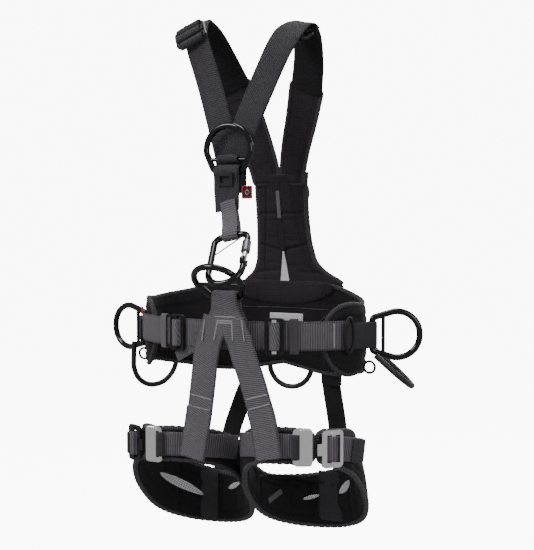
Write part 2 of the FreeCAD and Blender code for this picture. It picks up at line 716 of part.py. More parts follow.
# ---------------------------------------------------------------- back panel and shoulder pads
# Rows of the back panel: height, left edge, right edge, middle of its thickness, how far its sides wrap forward.
PANEL_ROWS = [(77.2, -84, 106, 115, 13), (90, -66, 82, 116, 9), (108, -56, 62, 117, 5), (132, -53, 53, 117, 3),
              (174, -50, 48, 112, 2), (217, -49, 48, 105, 2), (246, -49, 49, 100, 2), (262, -52, 52, 96, 3)]
PANEL_COLUMNS = 6
panel_sections = []
for height, low_x, high_x, middle_y, wrap in PANEL_ROWS:
    faces = {1: [], -1: []}
    for column in range(PANEL_COLUMNS + 1):
        share = column / PANEL_COLUMNS
        bow = wrap * (2 * share - 1) ** 2
        for face in (1, -1):
            faces[face].append(Vector(lerp(low_x, high_x, share), middle_y - bow + face * size["back_thick"] / 2,
                                      height))
    panel_sections.append(faces[-1] + faces[1][::-1])
keep(loft("back_panel_solid", panel_sections), "back_panel")

SHOULDER_BASE = [Vector(27, 93, 270), Vector(36, 86, 306), Vector(50, 78, 350), Vector(64, 66, 394)]
SHOULDER_TOP = [Vector(66, 64, 399), Vector(78, 46, 438), Vector(87, 22, 474), Vector(92, -2, 490)]
APEX_SHIFT = {1: Vector(0, 0, 0), -1: Vector(-8, 0, 12)}


def shoulder_point(point, side):
    """Mirror a point for the wearer's right and lift it as the right shoulder sits higher."""
    share = min(max((point.z - 268) / 222, 0), 1)
    shift = APEX_SHIFT[side]
    return Vector(side * point.x, point.y, point.z) + shift * share


def shoulder_band(label, points, side, widths, thick):
    """Padded band over a shoulder blade; it leans with the shoulder and narrows towards the spine."""
    route = smooth([shoulder_point(point, side) for point in points], 3)
    stations = []
    for k, point in enumerate(route):
        share = k / (len(route) - 1)
        across = Vector(1, -0.12 * side, -0.38 * side * (1 - 0.5 * share))
        stations.append((point, across, lerp(widths[0], widths[1], share), thick))
    return keep(strap(label + "_band", stations), label)


for name, side in (("left", 1), ("right", -1)):
    shoulder_band(f"shoulder_pad_{name}", SHOULDER_BASE, side, (50.0, size["shoulder_pad_width"]),
                  size["shoulder_pad_thick"])
    shoulder_band(f"shoulder_cover_{name}", SHOULDER_TOP, side, (66.0, 56.0), size["cover_thick"])

CHEST_LEFT = [Vector(3, -69.5, 226), Vector(5, -69.5, 275), Vector(20, -69.5, 322), Vector(38, -63, 368),
              Vector(56, -55, 415), Vector(73, -46, 455), Vector(85, -30, 481), Vector(90, -13, 491)]
CHEST_RIGHT = [Vector(-1, -64, 226), Vector(-3, -64, 275), Vector(-17, -64, 322), Vector(-36, -60, 372),
               Vector(-57, -55, 422), Vector(-75, -47, 464), Vector(-90, -30, 492), Vector(-97, -13, 503)]
CHEST_FLAT = 330.0


def chest_strap(label, points, side):
    """Shoulder webbing from the sternal strap over the chest to the top of the shoulder."""
    route = smooth(points, 3)
    stations = []
    for k, point in enumerate(route):
        run = (route[min(k + 1, len(route) - 1)] - route[max(k - 1, 0)]).normalize()
        rise = min(max((point.z - CHEST_FLAT) / CHEST_FLAT, 0), 1)
        outward = Vector(side * 0.5 * rise, -1, 0.8 * rise) if run.y < 0.5 else Vector(side * 0.1, -0.3, 1)
        across = run.cross(outward)
        stations.append((point, across * (1 if across.x > 0 else -1), webbing, size["webbing_thick"]))
    return keep(strap(label + "_web", stations), label)


chest_strap("shoulder_strap_left", CHEST_LEFT, 1)
chest_strap("shoulder_strap_right", CHEST_RIGHT, -1)

for name, centre, run, outward in (
        ("left", Vector(84, -20, 474), Vector(0.2, 0.85, 0.45), Vector(-0.1, 0.45, -0.9)),
        ("right", Vector(-86, -51, 480), Vector(-0.4, 0.35, 0.85), Vector(-0.1, -0.92, 0.34))):
    outward = (outward - run * (outward.dot(run) / run.dot(run))).normalize()
    ladder_frame(f"shoulder_adjuster_{name}", centre, run, outward)
    slide_bar(f"shoulder_slide_bar_{name}", centre, run, outward, BAR_HEIGHT, BAR_STAND)

dorsal_end = DORSAL_BAR + Vector(0, -1, -44)
keep(webbing_wrap("dorsal_wrap", DORSAL_BAR, LEFT, dorsal_end, "sizes.webbing_width - 8", "sizes.ring_wire"),
     "dorsal_strap")


# ---------------------------------------------------------------- leg loops
# Edge heights round a thigh: 0 is the front, angles grow towards the outside, 360 comes back to the front.
LEG_TOP = [(0, -130), (45, -137), (90, -150), (117, -168), (150, -222), (180, -242), (210, -246),
           (240, -236), (270, -196), (300, -152), (330, -134), (360, -130)]
LEG_BOTTOM = [(0, -185), (45, -195), (63, -212), (90, -256), (117, -300), (150, -328), (180, -336),
              (210, -330), (240, -308), (270, -264), (300, -212), (330, -190), (360, -185)]
LEG_STEP = 10.0
LEG_BAND_RISE = -157.0
LEG_BAND_DIP = 12.0
LEG_SPLIT = 25.0
SPLIT_GAP = 2.0
HOOK_ANGLE = 13.0
TONGUE_ANGLE = 36.5
TAIL_END = 70.0
LEG_WEB_START = -62.0
LEG_WEB_HALF = 0.42


def leg_band_height(angle):
    """Middle height of the leg webbing, which dips away from the front of the thigh."""
    return LEG_BAND_RISE - LEG_BAND_DIP * (angle / 60.0) ** 2


def leg_web(label, side, start, end, low, high):
    """Stretch of leg webbing on the front of a leg pad."""
    half = webbing * LEG_WEB_HALF
    angles = stations_between(start, end, LEG_STEP)
    item = ring_band(label + "_web", lambda *w: thigh(side, *w), angles, low, high,
                     lambda a: leg_band_height(a) - half, lambda a: leg_band_height(a) + half)
    return keep(item, label)


BUCKLE_CORNER = 7.0
BUCKLE_RAIL = 5.0
BUCKLE_END_RAIL = 8.0
NECK_LONG = 9.0


def buckle_plate(label, origin, across, outward, width_name, window_share):
    """Stamped leg-buckle plate with a window for the webbing; local Y is its thickness."""
    body = doc.addObject("PartDesign::Body", label + "_plate")
    outline = sketch_on(body, label + "_outline", "XZ_Plane")
    centred_rectangle(outline, f"sizes.{width_name}", "sizes.buckle_height")
    pad(body, outline, label + "_blank", "sizes.buckle_thick")
    window = sketch_on(body, label + "_window", "XZ_Plane")
    wide = size[width_name]
    centred_rectangle(window, f"sizes.{width_name} * {window_share}",
                      f"sizes.buckle_height - {2 * BUCKLE_END_RAIL}",
                      (1 - window_share) * wide / 2 - BUCKLE_RAIL)
    pocket(body, window, label + "_opening", "2 * sizes.buckle_thick")
    doc.recompute()
    corners = outer_corners(body.Tip, wide, size["buckle_height"])
    round_edges(body, body.Tip, label + "_corners", corners, BUCKLE_CORNER)
    body.Placement = place(origin, across, Vector(outward).cross(across))
    return body


def leg_pad_point(side, angle, offset, height):
    """Point of a leg pad, whose upper edge leans in towards the thigh on the outer side."""
    turned = angle % 360
    low, high = profile_at(LEG_BOTTOM, turned), profile_at(LEG_TOP, turned)
    lean_in = size["leg_flare"] * math.sin(math.radians(turned)) ** 2 if turned < 180 else 0.0
    return thigh(side, angle, offset - lean_in * (height - low) / (high - low), height)


def leg_place(side, angle, offset):
    """Centre, direction towards the outside and outward direction at an angle round a thigh."""
    run = (thigh(side, angle + 0.5, 0, 0) - thigh(side, angle - 0.5, 0, 0)).normalize()
    outward = run.cross(UP) * side
    return thigh(side, angle, offset, leg_band_height(angle)), run, outward


for name, side in (("left", 1), ("right", -1)):
    pad_stations = stations_between(LEG_SPLIT + SPLIT_GAP, 360 + LEG_SPLIT - SPLIT_GAP, LEG_STEP)
    leg_pad = ring_band(f"leg_pad_{name}_solid", lambda *where: leg_pad_point(side, *where), pad_stations,
                        -size["leg_pad_thick"], 0.0,
                        lambda a: profile_at(LEG_BOTTOM, a % 360), lambda a: profile_at(LEG_TOP, a % 360))
    keep(leg_pad, f"leg_pad_{name}")
    leg_web(f"leg_webbing_inner_{name}", side, LEG_WEB_START, HOOK_ANGLE - 3, WEB_INNER, WEB_OUTER)
    leg_web(f"leg_webbing_outer_{name}", side, TONGUE_ANGLE - 2, TAIL_END, WEB_INNER, WEB_OUTER)
    stand = WEB_OUTER + 1.2 + size["buckle_thick"] / 2
    centre, run, outward = leg_place(side, HOOK_ANGLE, stand)
    keep(buckle_plate(f"leg_hook_{name}", centre, run * side, outward, "hook_width", 0.4),
         f"leg_hook_plate_{name}")
    centre, run, outward = leg_place(side, TONGUE_ANGLE, stand)
    frame = buckle_plate(f"leg_tongue_{name}_window", centre, run * side, outward, "tongue_width", 0.62)
    neck = doc.addObject("Part::Box", f"leg_neck_{name}")
    neck.Length, neck.Width, neck.Height = NECK_LONG, size["buckle_thick"], size["neck_height"]
    start_x = -size["tongue_width"] / 2 - NECK_LONG + 1 if side > 0 else size["tongue_width"] / 2 - 1
    neck.Placement = frame.Placement * Placement(Vector(start_x, -size["buckle_thick"] / 2,
                                                        -size["neck_height"] / 2), Rotation())
    keep(fuse(f"leg_tongue_{name}_joined", [frame, neck]), f"leg_tongue_frame_{name}")
    slide_bar(f"leg_slide_bar_{name}", centre, run * side, outward, "sizes.buckle_height - 10",
              size["buckle_thick"] / 2 + size["slide_gap"])

# rear risers with the small buckles that hold them to the waist pad
REAR_RISERS = {
    "left": [Vector(90, 0, -98), Vector(95, 117, -135), Vector(102, 117, -185), Vector(110, 119.5, -262)],
    "right": [Vector(-69, 0, -98), Vector(-84, 117, -135), Vector(-104, 117, -190), Vector(-128, 119.5, -274)],
}
REAR_BUCKLE = Vector(40, 7, 20)
REAR_BUCKLE_LOW = -94.5
REAR_BUCKLE_STAND = 7.0
REAR_BUCKLE_CORNER = 4.0
REAR_RISER_PLY = 2.6
buckles = []
for name, points in REAR_RISERS.items():
    angle = 180 - math.degrees(math.asin(points[0].x / size["waist_half_width"]))
    seat = waist(angle, REAR_BUCKLE_STAND, REAR_BUCKLE_LOW)
    route = smooth([Vector(points[0].x, seat.y, points[0].z)] + points[1:], 4)
    run = route[-1] - route[0]
    across = run.cross(REAR) * -1
    width = size["riser_width"]
    keep(strap(f"rear_riser_{name}_web", [(point, across, width, REAR_RISER_PLY) for point in route]), f"rear_riser_{name}")
    buckle = doc.addObject("Part::Box", f"rear_buckle_{name}_box")
    buckle.Length, buckle.Width, buckle.Height = REAR_BUCKLE.x, REAR_BUCKLE.y, REAR_BUCKLE.z
    along = waist_run(angle)
    buckle.Placement = place(seat - along * (REAR_BUCKLE.x / 2), along, UP)
    rounded = doc.addObject("Part::Fillet", f"rear_buckle_{name}_rounded")
    rounded.Base = buckle
    doc.recompute()
    depth_way = along.cross(UP)
    rounded.Edges = [(int(edge[4:]), REAR_BUCKLE_CORNER, REAR_BUCKLE_CORNER)
                     for edge in edges_along(buckle, depth_way)]
    buckles.append(rounded)
pair = doc.addObject("Part::Compound", "rear_buckle_pair")
pair.Links = buckles
keep(pair, "rear_riser_buckles")


# ---------------------------------------------------------------- gear loops, small rings
def gear_loop(label, first, second, outward, lean_out, straight):
    """Moulded tube bent to a U that hangs from two points; lean_out tips it away from the body."""
    span = (second - first).Length
    radius = span / 2
    corners = [(0, -straight - radius, 0), (radius, -straight - radius, radius * 0.98), (radius, 0, 0)]
    halves = []
    for turned in (1, -1):
        flipped = [(x * turned, z, bend) for x, z, bend in corners]
        halves.append(bent_rod(f"{label}_half_{'a' if turned > 0 else 'b'}", flipped, False, "sizes.gear_tube"))
    loop = fuse(label + "_tube", halves)
    tip = math.radians(lean_out)
    upward = UP * math.cos(tip) - Vector(outward) * math.sin(tip)
    loop.Placement = place((first + second) / 2, second - first, upward)
    return keep(loop, label)


GEAR_STAND = size["gear_tube"] / 2 + 1.5
for name, side, lean_out in (("left", 1, 48.0), ("right", -1, 4.0)):
    outward = Vector(side * 0.92, 0.39, 0)
    along = outward.cross(UP)
    middle = waist(side * 101.0, GEAR_STAND + 8.0, -24)
    half = along * (size["side_gear_span"] / 2)
    gear_loop(f"gear_loop_{name}", middle - half, middle + half, outward, lean_out, 33.0)
rear_middle = waist(178, GEAR_STAND, -40)
half = LEFT * (size["rear_gear_span"] / 2)
gear_loop("gear_loop_rear", rear_middle - half, rear_middle + half, REAR, 0.0, 24.0)

for name, side in (("left", 1), ("right", -1)):
    ring = doc.addObject("Part::Torus", f"accessory_ring_{name}_torus")
    ring.setExpression("Radius1", "sizes.accessory_ring / 2")
    ring.setExpression("Radius2", "sizes.accessory_wire / 2")
    centre = waist(side * 88, 14.0, -44)
    ring.Placement = Placement(centre, Rotation(LEFT, 90))
    keep(ring, f"accessory_ring_{name}")


# ---------------------------------------------------------------- check and write
doc.recompute()
for item in doc.Objects:
    if "Invalid" in item.State or "Error" in item.State:
        raise RuntimeError(f"{item.Label} failed: {item.State}")
os.makedirs("parts", exist_ok=True)
for item in nodes:
    shape = item.Shape
    if shape.isNull() or not shape.isValid() or shape.Volume <= 0:
        raise RuntimeError(f"{item.Label} has no valid solid")
    shape.exportStep(f"parts/{item.Label}.step")
    print(f"{item.Label}: {len(shape.Solids)} solid, {shape.Volume:.0f} mm3")
print(f"{len(nodes)} nodes")
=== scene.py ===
import math

import bpy
import numpy as np
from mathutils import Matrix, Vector


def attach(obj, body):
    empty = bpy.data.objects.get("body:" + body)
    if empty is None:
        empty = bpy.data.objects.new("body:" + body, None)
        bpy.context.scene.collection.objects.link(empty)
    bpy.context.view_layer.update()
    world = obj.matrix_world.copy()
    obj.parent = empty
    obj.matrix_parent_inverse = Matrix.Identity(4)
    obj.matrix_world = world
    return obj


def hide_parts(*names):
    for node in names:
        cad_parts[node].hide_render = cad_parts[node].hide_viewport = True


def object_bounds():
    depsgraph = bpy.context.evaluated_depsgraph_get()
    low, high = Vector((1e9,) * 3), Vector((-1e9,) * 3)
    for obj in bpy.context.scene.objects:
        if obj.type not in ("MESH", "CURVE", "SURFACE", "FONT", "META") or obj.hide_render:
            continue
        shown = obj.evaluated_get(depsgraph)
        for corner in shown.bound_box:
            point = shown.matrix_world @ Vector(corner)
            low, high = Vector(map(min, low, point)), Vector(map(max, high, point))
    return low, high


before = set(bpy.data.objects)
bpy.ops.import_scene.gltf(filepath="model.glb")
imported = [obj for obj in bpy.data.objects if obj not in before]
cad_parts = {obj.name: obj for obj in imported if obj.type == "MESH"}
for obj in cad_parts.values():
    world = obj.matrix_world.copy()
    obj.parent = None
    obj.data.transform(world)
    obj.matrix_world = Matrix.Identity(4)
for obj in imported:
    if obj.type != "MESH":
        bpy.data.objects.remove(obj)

CAD_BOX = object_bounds()
MM = 0.001
scene = bpy.context.scene

# ------------------------------------------------------------------ camera, floor and light
camera_data = bpy.data.cameras.new("camera")
camera_data.sensor_fit = "VERTICAL"
camera_data.sensor_height = 36.0
camera_data.lens = 80.5
camera = bpy.data.objects.new("camera", camera_data)
camera.location = (0.9272, -1.7691, 0.1987)
camera.rotation_euler = (Vector((0.0205, 0.0104, 0.094)) - camera.location).to_track_quat("-Z",
                                                                                          "Y").to_euler()
scene.collection.objects.link(camera)
scene.camera = camera

FLOOR_Z = CAD_BOX[0][2] - 0.25


def area_light(name, place, aim, size, watts):
    """Soft square light that looks at a point."""
    data = bpy.data.lights.new(name, "AREA")
    data.size = size
    data.energy = watts
    lamp = bpy.data.objects.new(name, data)
    lamp.location = place
    lamp.rotation_euler = (Vector(aim) - Vector(place)).to_track_quat("-Z", "Y").to_euler()
    scene.collection.objects.link(lamp)


area_light("key", (-1.3, -2.0, 1.7), (0, 0, 0.1), 1.1, 46)
area_light("fill", (2.3, -1.2, 0.7), (0, 0, 0.1), 1.2, 16)
area_light("back", (0.4, 2.2, 1.4), (0, 0, 0.1), 1.4, 30)
area_light("top", (0.1, -0.2, 2.2), (0, 0, 0), 1.0, 22)

world = bpy.data.worlds.new("studio")
scene.world = world
world.use_nodes = True
world.node_tree.nodes["Background"].inputs["Color"].default_value = (1.0, 1.0, 1.0, 1.0)
world.node_tree.nodes["Background"].inputs["Strength"].default_value = 0.42


# ------------------------------------------------------------------ materials
def linear(colour):
    """sRGB hex to the linear values that a shader takes."""
    parts = [int(colour[i:i + 2], 16) / 255 for i in (1, 3, 5)]
    return tuple(c / 12.92 if c <= 0.04045 else ((c + 0.055) / 1.055) ** 2.4 for c in parts) + (1.0,)


def add(tree, kind, links=None, **settings):
    """Add a node, set its properties or its named sockets, and link its inputs."""
    node = tree.nodes.new(kind)
    for key, value in settings.items():
        if hasattr(node, key):
            setattr(node, key, value)
        else:
            node.inputs[key.replace("_", " ")].default_value = value
    for key, source in (links or {}).items():
        tree.links.new(source, node.inputs[key])
    return node


def material(name, colour, roughness, metallic=0.0, sheen=0.0, coat=0.0, specular=0.5):
    """New material with a Principled shader; constants go straight on its sockets."""
    mat = bpy.data.materials.new(name)
    mat.use_nodes = True
    tree = mat.node_tree
    shader = tree.nodes["Principled BSDF"]
    shader.inputs["Base Color"].default_value = linear(colour)
    shader.inputs["Roughness"].default_value = roughness
    shader.inputs["Metallic"].default_value = metallic
    shader.inputs["Sheen Weight"].default_value = sheen
    shader.inputs["Coat Weight"].default_value = coat
    shader.inputs["Specular IOR Level"].default_value = specular
    mat.diffuse_color = linear(colour)
    return mat, tree, shader


def maths(tree, operation, first, second=None, clamp=False):
    """Math node on sockets or plain numbers."""
    node = tree.nodes.new("ShaderNodeMath")
    node.operation = operation
    node.use_clamp = clamp
    for slot_index, value in enumerate((first, second)):
        if value is None:
            continue
        if isinstance(value, (int, float)):
            node.inputs[slot_index].default_value = value
        else:
            tree.links.new(value, node.inputs[slot_index])
    return node.outputs[0]


def blend_colour(tree, factor, low, high):
    """Mix of two hex colours by a factor socket."""
    mix = tree.nodes.new("ShaderNodeMix")
    mix.data_type = "RGBA"
    mix.inputs["A"].default_value = linear(low)
    mix.inputs["B"].default_value = linear(high)
    tree.links.new(factor, mix.inputs["Factor"])
    return mix.outputs["Result"]


def bump(tree, shader, height, distance, strength=1.0):
    """Bump from a height socket in metres of relief."""
    node = add(tree, "ShaderNodeBump", {"Height": height}, Distance=distance, Strength=strength)
    tree.links.new(node.outputs["Normal"], shader.inputs["Normal"])


def half_sine(tree, coordinate, pitch):
    """0 to 1 sine wave of a coordinate in metres."""
    sine = maths(tree, "SINE", maths(tree, "MULTIPLY", coordinate, 2 * math.pi / pitch))
    return maths(tree, "ADD", maths(tree, "MULTIPLY", sine, 0.5), 0.5)


def woven_webbing(name, dark, light, rib_pitch, rib_depth, slope=0.0, edge=0.0195):
    """Polyester webbing: cross ribs along its length, fine warp lines, darker selvedges, slight lint.

    The UV map holds the distance across the strap from its middle and the distance along it, in metres.
    """
    mat, tree, shader = material(name, light, 0.66, sheen=0.06, specular=0.3)
    uv = tree.nodes.new("ShaderNodeUVMap")
    uv.uv_map = "weave"
    split = add(tree, "ShaderNodeSeparateXYZ", {"Vector": uv.outputs["UV"]})
    across, along = split.outputs["X"], split.outputs["Y"]
    slant = maths(tree, "ADD", along, maths(tree, "MULTIPLY", across, slope))
    ribs = half_sine(tree, slant, rib_pitch)
    warp = half_sine(tree, across, 0.0011)
    height = maths(tree, "ADD", maths(tree, "MULTIPLY", ribs, 0.75), maths(tree, "MULTIPLY", warp, 0.25))
    noise = add(tree, "ShaderNodeTexNoise", {"Vector": uv.outputs["UV"]}, Scale=160.0, Detail=3.0)
    blotch = add(tree, "ShaderNodeTexNoise", {"Vector": uv.outputs["UV"]}, Scale=18.0, Detail=2.0)
    selvedge = maths(tree, "GREATER_THAN", maths(tree, "ABSOLUTE", across), edge)
    tone = maths(tree, "ADD", maths(tree, "MULTIPLY", height, 0.75),
                 maths(tree, "MULTIPLY", noise.outputs[0], 0.2))
    tone = maths(tree, "ADD", tone, maths(tree, "MULTIPLY", blotch.outputs[0], 0.2))
    tone = maths(tree, "SUBTRACT", tone, maths(tree, "MULTIPLY", selvedge, 0.28), clamp=True)
    tree.links.new(blend_colour(tree, tone, dark, light), shader.inputs["Base Color"])
    bump(tree, shader, height, rib_depth)
    return mat


def cover_cloth(name, dark, light, pitch=0.0009, dots=0.0):
    """Close-woven nylon pad cover: fine plain weave with soft colour patches, on Object coordinates in
    metres."""
    mat, tree, shader = material(name, light, 0.82, sheen=0.05, specular=0.18)
    coordinates = tree.nodes.new("ShaderNodeTexCoord")
    split = add(tree, "ShaderNodeSeparateXYZ", {"Vector": coordinates.outputs["Object"]})
    first = half_sine(tree, maths(tree, "ADD", split.outputs["X"], split.outputs["Y"]), pitch)
    second = half_sine(tree, split.outputs["Z"], pitch)
    weave = maths(tree, "MULTIPLY", first, second)
    noise = add(tree, "ShaderNodeTexNoise", {"Vector": coordinates.outputs["Object"]}, Scale=420.0,
                Detail=4.0)
    patch = add(tree, "ShaderNodeTexNoise", {"Vector": coordinates.outputs["Object"]}, Scale=14.0, Detail=3.0)
    tone = maths(tree, "ADD", maths(tree, "MULTIPLY", weave, 0.3),
                 maths(tree, "MULTIPLY", noise.outputs[0], 0.4))
    tone = maths(tree, "ADD", tone, maths(tree, "MULTIPLY", patch.outputs[0], 0.5))
    tone = maths(tree, "SUBTRACT", tone, 0.12, clamp=True)
    height = maths(tree, "ADD", weave, maths(tree, "MULTIPLY", noise.outputs[0], 0.6))
    if dots:
        grid_x = half_sine(tree, maths(tree, "ADD", split.outputs["X"], split.outputs["Y"]), dots)
        grid_z = half_sine(tree, split.outputs["Z"], dots)
        holes = maths(tree, "GREATER_THAN", maths(tree, "MULTIPLY", grid_x, grid_z), 0.72)
        tone = maths(tree, "SUBTRACT", tone, maths(tree, "MULTIPLY", holes, 0.5), clamp=True)
        height = maths(tree, "SUBTRACT", height, maths(tree, "MULTIPLY", holes, 1.5))
    tree.links.new(blend_colour(tree, tone, dark, light), shader.inputs["Base Color"])
    bump(tree, shader, height, 0.0003)
    return mat


def binding_tape(name, dark, light, pitch=0.0035):
    """Grosgrain binding folded over a pad's edge: ribs square to the edge, on the tape's own UV map."""
    mat, tree, shader = material(name, light, 0.75, sheen=0.06, specular=0.22)
    uv = tree.nodes.new("ShaderNodeUVMap")
    uv.uv_map = "weave"
    split = add(tree, "ShaderNodeSeparateXYZ", {"Vector": uv.outputs["UV"]})
    ribs = half_sine(tree, split.outputs["Y"], pitch)
    noise = add(tree, "ShaderNodeTexNoise", {"Vector": uv.outputs["UV"]}, Scale=150.0, Detail=3.0)
    tone = maths(tree, "ADD", maths(tree, "MULTIPLY", ribs, 0.55),
                 maths(tree, "MULTIPLY", noise.outputs[0], 0.6))
    tone = maths(tree, "SUBTRACT", tone, 0.1, clamp=True)
    tree.links.new(blend_colour(tree, tone, dark, light), shader.inputs["Base Color"])
    bump(tree, shader, ribs, 0.0007)
    return mat


def spacer_mesh(name, dark, light, pitch):
    """Open spacer mesh: pale threads round even rows of dark diamond holes, on the piece's own UV map in
    metres.

    A hole is where the product of two half sine waves, along the two diagonals of the map, is over a limit.
    """
    mat, tree, shader = material(name, light, 0.7, sheen=0.05, specular=0.25)
    uv = tree.nodes.new("ShaderNodeUVMap")
    uv.uv_map = "weave"
    split = add(tree, "ShaderNodeSeparateXYZ", {"Vector": uv.outputs["UV"]})
    rising = half_sine(tree, maths(tree, "ADD", split.outputs["X"], split.outputs["Y"]), pitch)
    falling = half_sine(tree, maths(tree, "SUBTRACT", split.outputs["X"], split.outputs["Y"]), pitch)
    holes = maths(tree, "GREATER_THAN", maths(tree, "MULTIPLY", rising, falling), 0.3)
    tree.links.new(blend_colour(tree, holes, light, dark), shader.inputs["Base Color"])
    bump(tree, shader, maths(tree, "SUBTRACT", 1.0, holes), 0.0006)
    return mat


def metal(name, colour, roughness, brushed=0.0, coat=0.0, metallic=1.0, scratch=0.1, specular=0.5):
    """Metal or lacquered metal with faint handling marks; brushed gives fine vertical grain."""
    mat, tree, shader = material(name, colour, roughness, metallic=metallic, coat=coat, specular=specular)
    coordinates = tree.nodes.new("ShaderNodeTexCoord")
    noise = add(tree, "ShaderNodeTexNoise", {"Vector": coordinates.outputs["Object"]}, Scale=90.0, Detail=5.0)
    rough = maths(tree, "ADD", maths(tree, "MULTIPLY", noise.outputs[0], scratch), roughness - scratch / 2)
    tree.links.new(rough, shader.inputs["Roughness"])
    if brushed:
        stretch = add(tree, "ShaderNodeMapping", {"Vector": coordinates.outputs["Object"]})
        stretch.inputs["Scale"].default_value = (1.0, 1.0, 0.04)
        grain = add(tree, "ShaderNodeTexNoise", {"Vector": stretch.outputs[0]}, Scale=2600.0, Detail=2.0)
        bump(tree, shader, grain.outputs[0], brushed)
    return mat


# Polyester webbing, mid grey: the belt and the risers, dull with a light catching its ribs.
belt_grey = woven_webbing("belt_grey_polyester_webbing", "#2a282d", "#726e76", 0.0038, 0.0009)
# The risers' webbing has the same yarn in a slightly slanting rib.
riser_grey = woven_webbing("riser_grey_polyester_webbing", "#2f2d32", "#7b7780", 0.0034, 0.0009, slope=0.35)
# The same webbing dyed darker, with a coarser diagonal rib: shoulders, chest and sides.
shoulder_grey = woven_webbing("shoulder_charcoal_polyester_webbing", "#111013", "#403d42", 0.0034, 0.0009,
                              slope=0.7)
# Black nylon tape: rear risers and the tail ends.
black_tape = woven_webbing("rear_black_nylon_tape", "#060607", "#171618", 0.0018, 0.0004, edge=0.0145)
# Woven elastic: keepers, lighter and ribbed lengthways.
keeper_elastic = woven_webbing("keeper_grey_elastic", "#3d3b3f", "#777379", 0.0016, 0.0005, edge=0.2)
# The same elastic in a darker grey, for the wearer's left keeper.
keeper_dark = woven_webbing("keeper_dark_elastic", "#232225", "#535055", 0.0016, 0.0005, edge=0.2)
# Bar-tack thread: pale bonded nylon laid in a close zigzag.
tack_thread = woven_webbing("bar_tack_pale_thread", "#6c696f", "#b5b2b8", 0.0009, 0.0004, edge=0.2)
# The same thread in single stitches, too small for a weave of their own.
stitch_thread = cover_cloth("stitch_pale_thread", "#6c696f", "#b5b2b8", pitch=0.0006)
# Pad cover: close-woven nylon, nearly black with a brown cast.
pad_black = cover_cloth("pad_black_nylon_cover", "#0e0c0e", "#2a262a")
# Perforated cover over the back and shoulder foam: the same cloth punched with a grid of small holes.
pad_dotted = cover_cloth("pad_perforated_nylon_cover", "#171417", "#3d373c", dots=0.0048)
# Binding tape folded over the pad edges.
edge_tape = binding_tape("pad_edge_grosgrain_binding", "#201e21", "#4d4a4f")
edge_tape_light = binding_tape("pad_edge_light_grosgrain_binding", "#262427", "#5e5b60")
# Spacer mesh that shows in the pads' seams.
white_mesh = spacer_mesh("pale_spacer_mesh", "#232224", "#f2f0f3", 0.0042)
# Forged alloy under gloss black lacquer: deep black with sharp white highlights.
forged_black = metal("forged_alloy_gloss_black_lacquer", "#040405", 0.09, coat=0.25, metallic=0.0,
                     scratch=0.03, specular=0.35)
# Stamped steel under satin black powder coat.
powder_black = metal("stamped_steel_black_powder_coat", "#101012", 0.42, metallic=0.3, scratch=0.12)
# Stainless buckle plates, tumbled satin.
satin_steel = metal("stainless_steel_tumbled_satin", "#eeecee", 0.24, brushed=0.00003)
# Bright rolled slide bars.
bright_bar = metal("slide_bar_bright_steel", "#eceaec", 0.16)
# Anodised aluminium screw sleeve, gunmetal, knurled along its length.
sleeve_grey = metal("screw_sleeve_gunmetal_anodised", "#75717a", 0.36, scratch=0.1)
# Plated steel wire bar of the connector.
plated_wire = metal("captive_wire_plated_steel", "#a9a8aa", 0.3)
# Moulded nylon: black keeper plate and small rings.
moulded_black = metal("moulded_black_nylon", "#1b1b1d", 0.45, metallic=0.0, scratch=0.15)
# Red woven edging of the small tabs.
red_edge = woven_webbing("small_tab_red_edging", "#7a1620", "#b8323d", 0.0016, 0.0003, edge=0.2)
tab_cloth = woven_webbing("small_tab_maroon_cloth", "#2c1216", "#5a2028", 0.0012, 0.0003, edge=0.2)
# White paper of the floor and the backdrop, lit evenly, so that it glows a little.
floor_white, _, floor_shader = material("floor_white_paper", "#ffffff", 0.9)
floor_shader.inputs["Emission Color"].default_value = (1.0, 1.0, 1.0, 1.0)
floor_shader.inputs["Emission Strength"].default_value = 9.0


# ------------------------------------------------------------------ shapes
def unit(v):
    """Unit vectors of an array of vectors."""
    v = np.asarray(v, float)
    return v / np.maximum(np.linalg.norm(v, axis=-1, keepdims=True), 1e-12)


def curve(points, count):
    """Smooth line in metres: Catmull-Rom through guide points in millimetres, even steps along its length."""
    p = np.asarray(points, float) * MM
    padded = np.vstack([2 * p[0] - p[1], p, 2 * p[-1] - p[-2]])
    t = np.linspace(0, len(p) - 1, 30 * len(p))
    k = np.minimum(t.astype(int), len(p) - 2)
    f = (t - k)[:, None]
    a, b, c, d = padded[k], padded[k + 1], padded[k + 2], padded[k + 3]
    dense = 0.5 * (2 * b + (c - a) * f + (2 * a - 5 * b + 4 * c - d) * f ** 2 + (3 * b - a - 3 * c + d)
                   * f ** 3)
    return resample(dense, count)


def resample(line, count):
    """The same line with points at even steps along its length."""
    run = np.r_[0, np.cumsum(np.linalg.norm(np.diff(line, axis=0), axis=1))]
    even = np.linspace(0, run[-1], count)
    return np.stack([np.interp(even, run, line[:, i]) for i in range(3)], 1)


def tangents(path, closed=False):
    """Unit direction along a line at each of its points."""
    if closed:
        return unit(np.roll(path, -1, 0) - np.roll(path, 1, 0))
    return unit(np.gradient(path, axis=0))


def ellipse(centre_x, half_width, half_depth, degrees, offset, height):
    """Points outside an upright ellipse; angle from the front towards +X, outward offset, height, all in
    mm."""
    turn = np.radians(np.asarray(degrees, float))
    out = unit(np.stack([np.sin(turn) / half_width, -np.cos(turn) / half_depth, 0 * turn], -1))
    base = np.stack([centre_x + half_width * np.sin(turn), -half_depth * np.cos(turn), 0 * turn], -1)
    flat = base + out * np.asarray(offset, float)[..., None]
    flat[..., 2] = height
    return flat * MM, out


